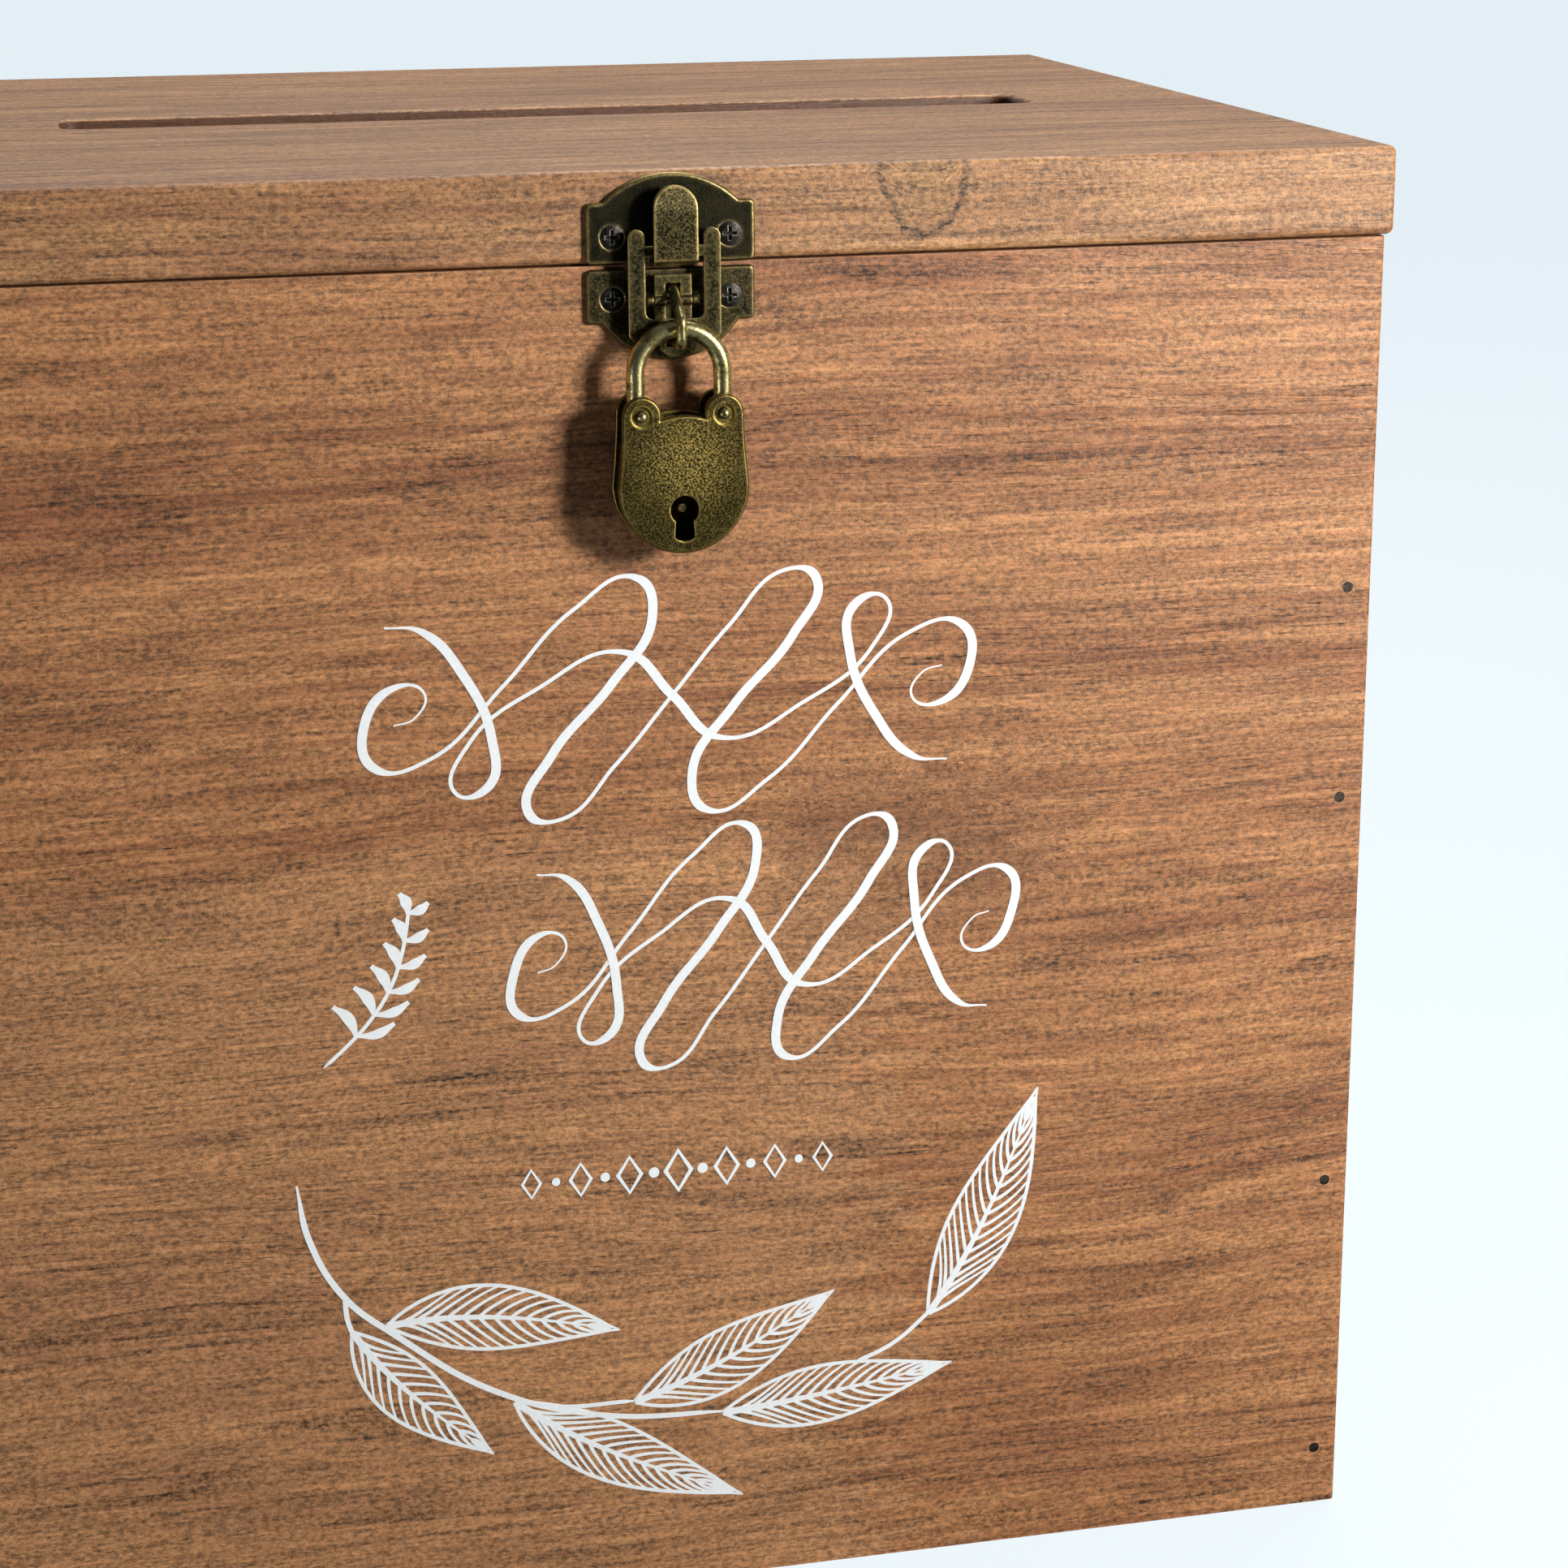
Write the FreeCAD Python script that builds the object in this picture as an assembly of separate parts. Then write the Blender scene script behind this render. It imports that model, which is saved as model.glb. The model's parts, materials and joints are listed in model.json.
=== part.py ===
"""Wedding card box: a wooden box with a slotted, hinged lid, a draw latch and a small padlock.

Millimetres. X is to the right, Y goes from the front to the back and Z is up.
The origin is the centre of the box's underside.
"""

import FreeCAD
import Part
import math
import os

V = FreeCAD.Vector

# ---- driving dimensions: the box ----
BODY_W = 250.0
BODY_D = 204.0
BODY_H = 237.5
WALL = 9.0
BOTTOM_T = 9.0
LID_T = 15.0
LID_GAP = 0.3
LID_SIDE_OVERHANG = 1.4
LID_FRONT_OVERHANG = 0.5
BOARD_EDGE_R = 1.1
LID_EDGE_R = 1.3
SLOT_L = 183.0
SLOT_W = 18.0
SLOT_CORNER_R = 3.5

# ---- brads: thin nails with small heads ----
BRAD_R = 0.6
BRAD_L = 20.0
BRAD_HEAD_R = 1.0
BRAD_HEAD_T = 0.8
BRAD_LEVELS = (0.047, 0.274, 0.582, 0.743)
BOTTOM_BRAD_PLACES = (-0.7, 0.0, 0.7)

# ---- rear butt hinges ----
HINGE_X = 78.0
HINGE_W = 30.0
HINGE_LEAF_T = 1.0
HINGE_LEAF_H = 13.0
HINGE_BARREL_R = 2.2
HINGE_PIN_R = 1.0
HINGE_PIN_HEAD_R = 1.6
HINGE_PIN_HEAD_T = 0.8
HINGE_SCREW_X = 10.0
HINGE_SCREW_DROP = 7.8
KNUCKLE_GAP = 0.15

# ---- fits ----
RUN = 0.05
BARREL_CLEAR = 0.1
LOOSE = 0.25

# ---- wood screws with a cross recess ----
SCREW_R = 1.1
SCREW_HEAD_R = 2.05
SCREW_HEAD_T = 0.9
SCREW_CROWN = 0.35
SCREW_L = 8.0
RECESS_L = 2.3
RECESS_W = 0.55
RECESS_DEEP = 0.7

# ---- latch plates ----
PLATE_T = 1.0
PLATE_W = 28.0
PLATE_GAP = 0.6
PLATE_CORNER_R = 0.9
PLATE_EDGE = 0.3
CATCH_STRAIGHT = 9.9
CATCH_ARCH_RISE = 4.6
BASE_STRAIGHT = 8.8
BASE_ARCH_RISE = 6.2
ARCH_CHORD = 22.6
PLATE_SCREW_X = 9.75
CATCH_SCREW_UP = 4.4
BASE_SCREW_DOWN = 4.8

# ---- catch hook ----
HOOK_W = 7.3
HOOK_T = 1.0
HOOK_GAP = 3.1
HOOK_H = 12.8
HOOK_CREASE = 8.9
HOOK_LEAN = 0.7

# ---- link, lever and their pins ----
LATCH_PIN_R = 0.5
LATCH_BARREL_R = 0.95
PIN_STANDOFF = 1.15
LEVER_PIVOT_DOWN = 5.7
LEVER_ARM = 4.4
LEVER_T = 0.8
LEVER_W = 6.2
LEVER_TOP = 4.2
LEVER_TAIL_BELOW_LINK_PIN = 4.5
LEVER_SLOT_W = 2.5
LEVER_BAR = 1.3
EAR_T = 1.0
EAR_GAP = 0.2
LINK_W = 15.3
LINK_ARM_W = 2.8
LINK_T = 0.8
LINK_STANDOFF = 3.25
LINK_TOP_ABOVE_SEAM = 6.1
LINK_BAR_H = 1.8
LINK_WEB_BELOW_PIN = 1.9
LINK_WEB_ABOVE_PIN = 1.6
LINK_NOTCH_W = 3.4
LINK_CORNER_R = 1.3

# ---- staple for the padlock ----
STAPLE_R = 0.85
STAPLE_TOP_DOWN = 3.9
STAPLE_BEND_R = 1.6

# ---- padlock ----
SHACKLE_R = 1.5
SHACKLE_HALF_W = 7.25
SHACKLE_STANDOFF = 6.3
SHACKLE_LEG = 6.45
SHACKLE_REST = 0.15
EAR_HALF_SPAN = 6.85
EAR_R = 3.2
LOCK_HALF_W = 10.9
LOCK_ROUND_DROP = 11.9
VALLEY_DROP = 0.75
VALLEY_RISE = 0.7
SIDE_BELLY = 0.15
LOCK_FRONT_T = 1.2
LOCK_BACK_T = 1.0
LOCK_INSIDE = 4.2
LOCK_EDGE = 0.3
BAND_INSET = 0.55
BAND_T = 0.9
BAND_OPEN_DROP = 5.2
RIVET_R = 1.0
RIVET_RING_R = 1.8
RIVET_RING_DEEP = 0.45
EYE_R = 2.4
EYE_T = 2.6
FORK_CLEAR = 0.5
KEYHOLE_DROP = 15.6
KEYHOLE_R = 2.4
KEYHOLE_SLOT_W = 3.4
KEYHOLE_L = 7.4
KEY_POST_R = 0.7
BOLT_H = 0.9
BOLT_T = 2.0
BOLT_BITE = 0.8
BOLT_DROP = 2.25
BOLT_L = 8.5
BOLT_FOOT_W = 2.4
BOLT_FOOT_DROP = 7.0
TIP_UNDER = 0.35
GUIDE_W = 1.4
GUIDE_H = 0.55

# ---- white vinyl ----
VINYL_T = 0.15
# each scroll band is centred on the panel: its left end, its height as a share of BODY_H, its width
SCROLL_BANDS = ((-53.0, 0.695, 24.0), (-60.0, 0.5, 24.0), (-27.0, 0.335, 4.0))
# each leaf: its root's X and height (a share of BODY_H), its length, its width, its turn from upright
SPRIG_LEAVES = (
    (-53.0, 0.236, 41.0, 11.0, 98.0),
    (-58.0, 0.231, 34.0, 10.0, 137.0),
    (-30.0, 0.16, 45.0, 11.0, 119.0),
    (-9.0, 0.152, 39.0, 11.0, 64.0),
    (7.0, 0.135, 42.0, 11.0, 83.0),
    (45.0, 0.198, 45.0, 12.0, 25.0),
)

# ---- places worked out from the sizes above ----
FRONT_Y = -BODY_D / 2
BACK_Y = BODY_D / 2
LID_Z = BODY_H + LID_GAP
LID_FRONT_Y = FRONT_Y - LID_FRONT_OVERHANG
HINGE_Y = BACK_Y + HINGE_BARREL_R + BARREL_CLEAR
HINGE_Z = BODY_H + LID_GAP / 2
PIN_OUT = PLATE_T + PIN_STANDOFF
LEVER_PIVOT_Z = BODY_H - LEVER_PIVOT_DOWN
LINK_PIN_Z = LEVER_PIVOT_Z - LEVER_ARM
STAPLE_TOP_Z = BODY_H - STAPLE_TOP_DOWN
LEVER_LOW_Z = LINK_PIN_Z - LEVER_TAIL_BELOW_LINK_PIN
SLOT_BOTTOM_Z = LEVER_LOW_Z + LEVER_BAR
STAPLE_LOW_Z = SLOT_BOTTOM_Z + LOOSE + STAPLE_R
SHACKLE_TOP_Z = STAPLE_LOW_Z + STAPLE_R + SHACKLE_REST + SHACKLE_R
STAPLE_OUT = SHACKLE_STANDOFF + SHACKLE_R + LOOSE + STAPLE_R
EARS_Z = SHACKLE_TOP_Z - SHACKLE_HALF_W - SHACKLE_LEG
LOCK_BACK_OUT = SHACKLE_STANDOFF - LOCK_INSIDE / 2 - LOCK_BACK_T
LOCK_FRONT_OUT = SHACKLE_STANDOFF + LOCK_INSIDE / 2 + LOCK_FRONT_T
LOCK_ROUND_Z = EARS_Z - LOCK_ROUND_DROP


# ---- small helpers ----
def block(x0, x1, y0, y1, z0, z1):
    return Part.makeBox(x1 - x0, y1 - y0, z1 - z0, V(x0, y0, z0))


def rod(radius, start, end):
    """A round bar between two points."""
    way = V(*end) - V(*start)
    return Part.makeCylinder(radius, way.Length, V(*start), way)


def x_rod(radius, x0, x1, y, z):
    return rod(radius, (x0, y, z), (x1, y, z))


def y_rod(radius, x, z, y0, y1):
    return rod(radius, (x, y0, z), (x, y1, z))


def outline(*steps):
    """A closed wire in the XZ plane: a step is a corner (x, z), or an arc (mid x, mid z, end x, end z)."""
    edges = []
    start = V(steps[0][0], 0, steps[0][1])
    here = start
    for step in steps[1:] + (steps[0],):
        there = V(step[-2], 0, step[-1])
        if len(step) == 4:
            edges.append(Part.Arc(here, V(step[0], 0, step[1]), there).toShape())
        elif (there - here).Length > 1e-6:
            edges.append(Part.LineSegment(here, there).toShape())
        here = there
    return Part.Wire(edges)


def slab(wire, y0, y1):
    """The wire's area, from y0 back to y1."""
    solid = Part.Face(wire).extrude(V(0, y1 - y0, 0))
    solid.translate(V(0, y0, 0))
    return solid


def out_slab(wire, out0, out1, face_y=FRONT_Y):
    """The wire's area between two heights in front of a face."""
    return slab(wire, face_y - out1, face_y - out0)


def edges_where(shape, test):
    return [e for e in shape.Edges if test(e.BoundBox)]


def flat_in_y(box, y):
    return abs(box.YMin - y) < 1e-4 and abs(box.YMax - y) < 1e-4


def ease_front(shape, y, size):
    """A small chamfer round everything that lies in the plane y."""
    return shape.makeChamfer(size, edges_where(shape, lambda b: flat_in_y(b, y)))


def group(shapes):
    return Part.makeCompound(shapes)


def cut_all(shape, tools):
    return shape.cut(tools) if tools else shape


# ---- fasteners: each has one shape, and the same shape is cut from what it goes through ----
def brad(x, y, z, way):
    """A nail whose head is flush at (x, y, z) and which goes in along way."""
    base = V(x, y, z)
    shank = Part.makeCylinder(BRAD_R, BRAD_L, base, way)
    head = Part.makeCylinder(BRAD_HEAD_R, BRAD_HEAD_T, base, way)
    return shank.fuse(head).removeSplitter()


def screw_blank(x, y, z, inward):
    """A countersunk screw without its recess; its head's rim is flush at y and inward is +1 or -1."""
    way = V(0, inward, 0)
    cone = Part.makeCone(SCREW_HEAD_R, SCREW_R, SCREW_HEAD_T, V(x, y, z), way)
    shank = Part.makeCylinder(SCREW_R, SCREW_L, V(x, y, z), way)
    return cone.fuse(shank).removeSplitter()


def screw(x, y, z, inward):
    """The whole screw: a low domed crown and a cross recess."""
    ball_r = (SCREW_HEAD_R**2 + SCREW_CROWN**2) / (2 * SCREW_CROWN)
    ball = Part.makeSphere(ball_r, V(x, y + inward * (ball_r - SCREW_CROWN), z))
    keep = y_rod(SCREW_HEAD_R, x, z, y - inward * SCREW_CROWN * 1.5, y)
    shape = screw_blank(x, y, z, inward).fuse(ball.common(keep)).removeSplitter()
    deep = (y - inward * SCREW_CROWN * 1.5, y + inward * (RECESS_DEEP - SCREW_CROWN))
    for half_x, half_z in ((RECESS_L / 2, RECESS_W / 2), (RECESS_W / 2, RECESS_L / 2)):
        bar = block(x - half_x, x + half_x, min(deep), max(deep), z - half_z, z + half_z)
        shape = shape.cut(bar)
    return shape


def edge_brad_places(y):
    """Where the front or back panel is nailed to the side panels."""
    x = BODY_W / 2 - WALL / 2
    return [(side * x, y, level * BODY_H) for side in (-1, 1) for level in BRAD_LEVELS]


def front_brads():
    return [brad(*place, V(0, 1, 0)) for place in edge_brad_places(FRONT_Y)]


def back_brads():
    return [brad(*place, V(0, -1, 0)) for place in edge_brad_places(BACK_Y)]


def bottom_brads():
    """Through the side panels into the ends of the bottom board."""
    half_d = BODY_D / 2 - WALL
    nails = []
    for side in (-1, 1):
        for share in BOTTOM_BRAD_PLACES:
            nails.append(brad(side * BODY_W / 2, share * half_d, BOTTOM_T / 2, V(-side, 0, 0)))
    return nails


def catch_screw_places():
    return [(side * PLATE_SCREW_X, LID_FRONT_Y - PLATE_T, LID_Z + CATCH_SCREW_UP, 1) for side in (-1, 1)]


def base_screw_places():
    return [(side * PLATE_SCREW_X, FRONT_Y - PLATE_T, BODY_H - PLATE_GAP - BASE_SCREW_DOWN, 1)
            for side in (-1, 1)]


def hinge_screw_places(upward):
    """The screws of both hinges in the lid (upward = 1) or in the back panel (upward = -1)."""
    y = BACK_Y + HINGE_LEAF_T
    z = HINGE_Z + upward * HINGE_SCREW_DROP
    return [(hinge + side * HINGE_SCREW_X, y, z, -1) for hinge in (-HINGE_X, HINGE_X) for side in (-1, 1)]


def blanks(places):
    return [screw_blank(*place) for place in places]


def screws(places):
    return group([screw(*place) for place in places])


# ---- the wooden box ----
def upright_outer_edges(shape, y):
    """The vertical edges of a full-width panel that lie in its outer face."""
    return edges_where(shape, lambda b: flat_in_y(b, y) and b.ZLength > BODY_H / 2)


def front_panel():
    board = block(-BODY_W / 2, BODY_W / 2, FRONT_Y, FRONT_Y + WALL, 0, BODY_H)
    board = board.makeFillet(BOARD_EDGE_R, upright_outer_edges(board, FRONT_Y))
    return cut_all(board, front_brads() + blanks(base_screw_places()))


def back_panel():
    board = block(-BODY_W / 2, BODY_W / 2, BACK_Y - WALL, BACK_Y, 0, BODY_H)
    board = board.makeFillet(BOARD_EDGE_R, upright_outer_edges(board, BACK_Y))
    return cut_all(board, back_brads() + blanks(hinge_screw_places(-1)))


def side_panel(side):
    x = sorted((side * BODY_W / 2, side * (BODY_W / 2 - WALL)))
    board = block(x[0], x[1], FRONT_Y + WALL, BACK_Y - WALL, 0, BODY_H)
    return cut_all(board, front_brads() + back_brads() + bottom_brads())


def bottom_board():
    half_w = BODY_W / 2 - WALL
    board = block(-half_w, half_w, FRONT_Y + WALL, BACK_Y - WALL, 0, BOTTOM_T)
    return cut_all(board, bottom_brads())


def lid_board():
    half_w = BODY_W / 2 + LID_SIDE_OVERHANG
    top = LID_Z + LID_T
    board = block(-half_w, half_w, LID_FRONT_Y, BACK_Y, LID_Z, top)
    board = board.makeFillet(LID_EDGE_R, board.Edges)
    half_l = SLOT_L / 2
    cutter = block(-half_l, half_l, -SLOT_W / 2, SLOT_W / 2, LID_Z - 1, top + 1)
    corners = edges_where(cutter, lambda b: b.ZLength > LID_T)
    cutter = cutter.makeFillet(SLOT_CORNER_R, corners)
    board = board.cut(cutter)

    def is_slot_rim(b):
        in_x = abs(b.XMin) < half_l + 1 and abs(b.XMax) < half_l + 1
        in_y = abs(b.YMin) < SLOT_W and abs(b.YMax) < SLOT_W
        return in_x and in_y and b.ZMin > top - 1e-3

    board = board.makeFillet(LID_EDGE_R * 0.7, edges_where(board, is_slot_rim))
    return cut_all(board, blanks(catch_screw_places()) + blanks(hinge_screw_places(1)))


# ---- rear hinges ----
def knuckle_spans(centre, own_middle):
    """The stretches along X that one leaf's knuckles take up: the middle third, or the two outer thirds."""
    third = HINGE_W / 3
    left = centre - HINGE_W / 2
    if own_middle:
        return [(left + third + KNUCKLE_GAP, left + 2 * third - KNUCKLE_GAP)]
    return [(left, left + third), (left + 2 * third, left + HINGE_W)]


def hinge_leaf(centre, upward):
    """upward = 1 is the lid's leaf, with the middle knuckle, and -1 is the body's."""
    own_middle = upward > 0
    near = HINGE_Z + upward * (HINGE_BARREL_R + BARREL_CLEAR)
    far = HINGE_Z + upward * HINGE_LEAF_H
    y = (BACK_Y, BACK_Y + HINGE_LEAF_T)
    leaf = block(centre - HINGE_W / 2, centre + HINGE_W / 2, *y, min(near, far), max(near, far))
    corners = edges_where(leaf, lambda b: b.YLength > HINGE_LEAF_T / 2 and abs(b.ZMin - far) < 1e-4)
    leaf = leaf.makeFillet(PLATE_CORNER_R, corners)
    neck = (HINGE_Z + upward * HINGE_PIN_R, near)
    for x0, x1 in knuckle_spans(centre, own_middle):
        tab = block(x0, x1, *y, min(neck), max(neck))
        leaf = leaf.fuse(tab).fuse(x_rod(HINGE_BARREL_R, x0, x1, HINGE_Y, HINGE_Z))
    leaf = leaf.removeSplitter()
    bore = HINGE_PIN_R + (RUN if own_middle else 0)
    leaf = leaf.cut(x_rod(bore, centre - HINGE_W, centre + HINGE_W, HINGE_Y, HINGE_Z))
    return cut_all(leaf, blanks(hinge_screw_places(upward)))


def hinge_pin(centre):
    x0, x1 = centre - HINGE_W / 2, centre + HINGE_W / 2
    pin = x_rod(HINGE_PIN_R, x0, x1, HINGE_Y, HINGE_Z)
    heads = [x_rod(HINGE_PIN_HEAD_R, x0 - HINGE_PIN_HEAD_T, x0, HINGE_Y, HINGE_Z)]
    heads.append(x_rod(HINGE_PIN_HEAD_R, x1, x1 + HINGE_PIN_HEAD_T, HINGE_Y, HINGE_Z))
    return pin.fuse(heads).removeSplitter()


# ---- latch ----
def plate_outline(z, straight, rise, up):
    """A latch plate: straight sides from z, square shoulders, then an arch; up is 1 or -1."""
    half_w = PLATE_W / 2
    half_c = ARCH_CHORD / 2
    shoulder = z + up * straight
    top = shoulder + up * rise
    r = PLATE_CORNER_R
    bend = r * (1 - math.sqrt(0.5))
    return outline(
        (half_w - r, z),
        (half_w - bend, z + up * bend, half_w, z + up * r),
        (half_w, shoulder - up * r),
        (half_w - bend, shoulder - up * bend, half_w - r, shoulder),
        (half_c, shoulder),
        (0, top, -half_c, shoulder),
        (-half_w + r, shoulder),
        (-half_w + bend, shoulder - up * bend, -half_w, shoulder - up * r),
        (-half_w, z + up * r),
        (-half_w + bend, z + up * bend, -half_w + r, z),
    )


def catch_hook():
    """A strap that comes out from the catch plate's lower edge and turns up; its round tip leans back."""
    inner = PLATE_T + HOOK_GAP
    outer = inner + HOOK_T
    y = [LID_FRONT_Y - out for out in (PLATE_T / 2, inner, outer, inner - HOOK_LEAN, outer - HOOK_LEAN)]
    low, tip, crease = LID_Z, LID_Z + HOOK_H, LID_Z + HOOK_CREASE
    corner = HOOK_T * 0.8
    profile = Part.makePolygon([
        V(0, y[0], low), V(0, y[2] + corner, low), V(0, y[2], low + corner), V(0, y[2], crease),
        V(0, y[4], tip), V(0, y[3], tip), V(0, y[1], crease), V(0, y[1], low + HOOK_T),
        V(0, y[0], low + HOOK_T), V(0, y[0], low),
    ])
    strap = Part.Face(profile).extrude(V(HOOK_W, 0, 0))
    strap.translate(V(-HOOK_W / 2, 0, 0))
    half = HOOK_W / 2
    front = outline((-half, low), (half, low), (half, tip - half), (0, tip, -half, tip - half))
    return strap.common(slab(front, LID_FRONT_Y - outer - 1, LID_FRONT_Y))


def catch_plate():
    wire = plate_outline(LID_Z, CATCH_STRAIGHT, CATCH_ARCH_RISE, 1)
    plate = out_slab(wire, 0, PLATE_T, LID_FRONT_Y)
    plate = ease_front(plate, LID_FRONT_Y - PLATE_T, PLATE_EDGE)
    plate = plate.fuse(catch_hook()).removeSplitter()
    return cut_all(plate, blanks(catch_screw_places()))


def ear_spans():
    """The two ears that carry a latch pin, just outside the lever."""
    near = LEVER_W / 2 + EAR_GAP
    return [(near, near + EAR_T), (-near - EAR_T, -near)]


def pin_ears(z, out0, out1):
    """Ears between two heights off the front, with a rounded end round the pin."""
    ears = []
    for x0, x1 in ear_spans():
        ear = x_rod(LATCH_BARREL_R, x0, x1, FRONT_Y - PIN_OUT, z)
        root = block(x0, x1, FRONT_Y - out1, FRONT_Y - out0, z - LATCH_BARREL_R, z + LATCH_BARREL_R)
        ears.append(ear.fuse(root).removeSplitter())
    return ears


def latch_pin(z):
    half = LEVER_W / 2 + EAR_GAP + EAR_T
    return x_rod(LATCH_PIN_R, -half, half, FRONT_Y - PIN_OUT, z)


def latch_base():
    wire = plate_outline(BODY_H - PLATE_GAP, BASE_STRAIGHT, BASE_ARCH_RISE, -1)
    plate = ease_front(out_slab(wire, 0, PLATE_T), FRONT_Y - PLATE_T, PLATE_EDGE)
    plate = plate.fuse(pin_ears(LEVER_PIVOT_Z, PLATE_T / 2, PIN_OUT)).removeSplitter()
    return cut_all(plate, blanks(base_screw_places()) + [lock_staple(), latch_pin(LEVER_PIVOT_Z)])


def latch_lever():
    """A slotted flat lever with a rolled barrel at each pin."""
    half_w = LEVER_W / 2
    top = LEVER_PIVOT_Z + LEVER_TOP
    low = LEVER_LOW_Z
    narrow = half_w - 0.9
    waist = LINK_PIN_Z - LATCH_BARREL_R - LOOSE
    wire = outline((-half_w, waist), (-half_w, top), (half_w, top), (half_w, waist),
                   (narrow, waist - 1.2), (narrow, low + 1.0), (0, low - 0.3, -narrow, low + 1.0),
                   (-narrow, waist - 1.2))
    lever = out_slab(wire, PIN_OUT - LEVER_T / 2, PIN_OUT + LEVER_T / 2)
    for z in (LEVER_PIVOT_Z, LINK_PIN_Z):
        lever = lever.fuse(x_rod(LATCH_BARREL_R, -half_w, half_w, FRONT_Y - PIN_OUT, z))
    half_slot = LEVER_SLOT_W / 2
    slot_top = STAPLE_TOP_Z + STAPLE_R + LOOSE
    slot = block(-half_slot, half_slot, FRONT_Y - 2 * PIN_OUT, FRONT_Y, SLOT_BOTTOM_Z, slot_top)
    lever = lever.removeSplitter().cut(slot)
    pivot_bore = x_rod(LATCH_PIN_R + RUN, -half_w - 1, half_w + 1, FRONT_Y - PIN_OUT, LEVER_PIVOT_Z)
    return lever.cut([pivot_bore, latch_pin(LINK_PIN_Z)])


def latch_link():
    """A flat frame: its top bar sits in the catch hook and its lower web carries the lever's pin."""
    half_w = LINK_W / 2
    inner = half_w - LINK_ARM_W
    top = BODY_H + LINK_TOP_ABOVE_SEAM
    low = LINK_PIN_Z - LINK_WEB_BELOW_PIN
    web_top = LINK_PIN_Z + LINK_WEB_ABOVE_PIN
    bar_low = LID_Z + HOOK_T + LOOSE
    bar_top = bar_low + LINK_BAR_H
    r = LINK_CORNER_R
    bend = r * (1 - math.sqrt(0.5))
    notch = LINK_NOTCH_W / 2
    notch_top = LINK_PIN_Z - LATCH_PIN_R
    wire = outline(
        (half_w, low + r), (half_w, top - r), (half_w - bend, top - bend, half_w - r, top),
        (inner + r, top), (inner + bend, top - bend, inner, top - r), (inner, bar_top),
        (-inner, bar_top), (-inner, top - r), (-inner - bend, top - bend, -inner - r, top),
        (-half_w + r, top), (-half_w + bend, top - bend, -half_w, top - r), (-half_w, low + r),
        (-half_w + bend, low + bend, -half_w + r, low), (-notch, low), (-notch * 0.7, notch_top),
        (notch * 0.7, notch_top), (notch, low), (half_w - r, low),
        (half_w - bend, low + bend, half_w, low + r),
    )
    window = outline(
        (inner, web_top + r), (inner, bar_low), (-inner, bar_low), (-inner, web_top + r),
        (-inner + bend, web_top + bend, -inner + r, web_top), (inner - r, web_top),
        (inner - bend, web_top + bend, inner, web_top + r),
    )
    frame = out_slab(wire, LINK_STANDOFF, LINK_STANDOFF + LINK_T)
    frame = frame.cut(out_slab(window, LINK_STANDOFF - 1, LINK_STANDOFF + LINK_T + 1))
    frame = frame.fuse(pin_ears(LINK_PIN_Z, PIN_OUT, LINK_STANDOFF + LINK_T / 2)).removeSplitter()
    half = LEVER_W
    return frame.cut(x_rod(LATCH_PIN_R + RUN, -half, half, FRONT_Y - PIN_OUT, LINK_PIN_Z))


def bent_rod(points, radii, radius):
    """A round bar along straight runs joined by arcs; radii has one bend radius for each inner point."""
    edges = []
    here = points[0]
    for before, corner, after, bend_r in zip(points, points[1:], points[2:], radii):
        into = (corner - before).normalize()
        away = (after - corner).normalize()
        turn = into.getAngle(away)
        back = bend_r * math.tan(turn / 2)
        start = corner - into * back
        end = corner + away * back
        middle_way = (away - into).normalize()
        mid = corner + middle_way * (bend_r / math.cos(turn / 2) - bend_r)
        edges.append(Part.LineSegment(here, start).toShape())
        edges.append(Part.Arc(start, mid, end).toShape())
        here = end
    edges.append(Part.LineSegment(here, points[-1]).toShape())
    path = Part.Wire(edges)
    way = (points[1] - points[0]).normalize()
    circle = Part.Wire([Part.makeCircle(radius, points[0], way)])
    return path.makePipeShell([circle], True, False)


def lock_staple():
    """The eye that the padlock hangs in: a wire loop whose two feet are set in the latch base."""
    neck = SHACKLE_STANDOFF * 0.38
    shoulder_z = SHACKLE_TOP_Z + SHACKLE_R
    points = [V(0, FRONT_Y, STAPLE_TOP_Z), V(0, FRONT_Y - neck, STAPLE_TOP_Z),
              V(0, FRONT_Y - STAPLE_OUT, shoulder_z), V(0, FRONT_Y - STAPLE_OUT, STAPLE_LOW_Z),
              V(0, FRONT_Y, STAPLE_LOW_Z)]
    return bent_rod(points, [STAPLE_BEND_R] * 3, STAPLE_R)


# ---- padlock ----
def lock_outline(inset=0.0):
    """Two round ears, a shallow valley between them, flaring sides and a round bottom."""
    ear_r = EAR_R - inset
    half = LOCK_HALF_W - inset
    span = EAR_HALF_SPAN
    valley_z = EARS_Z - VALLEY_DROP - inset
    valley_x = span - math.sqrt(max(ear_r**2 - (EARS_Z - valley_z) ** 2, 0.01))
    side_z = (EARS_Z + LOCK_ROUND_Z) / 2
    side_x = (span + ear_r + half) / 2 - SIDE_BELLY
    return outline(
        (valley_x, valley_z),
        (span, EARS_Z + ear_r, span + ear_r, EARS_Z),
        (side_x, side_z, half, LOCK_ROUND_Z),
        (0, LOCK_ROUND_Z - half, -half, LOCK_ROUND_Z),
        (-side_x, side_z, -span - ear_r, EARS_Z),
        (-span, EARS_Z + ear_r, -valley_x, valley_z),
        (0, valley_z + VALLEY_RISE, valley_x, valley_z),
    )


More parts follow.
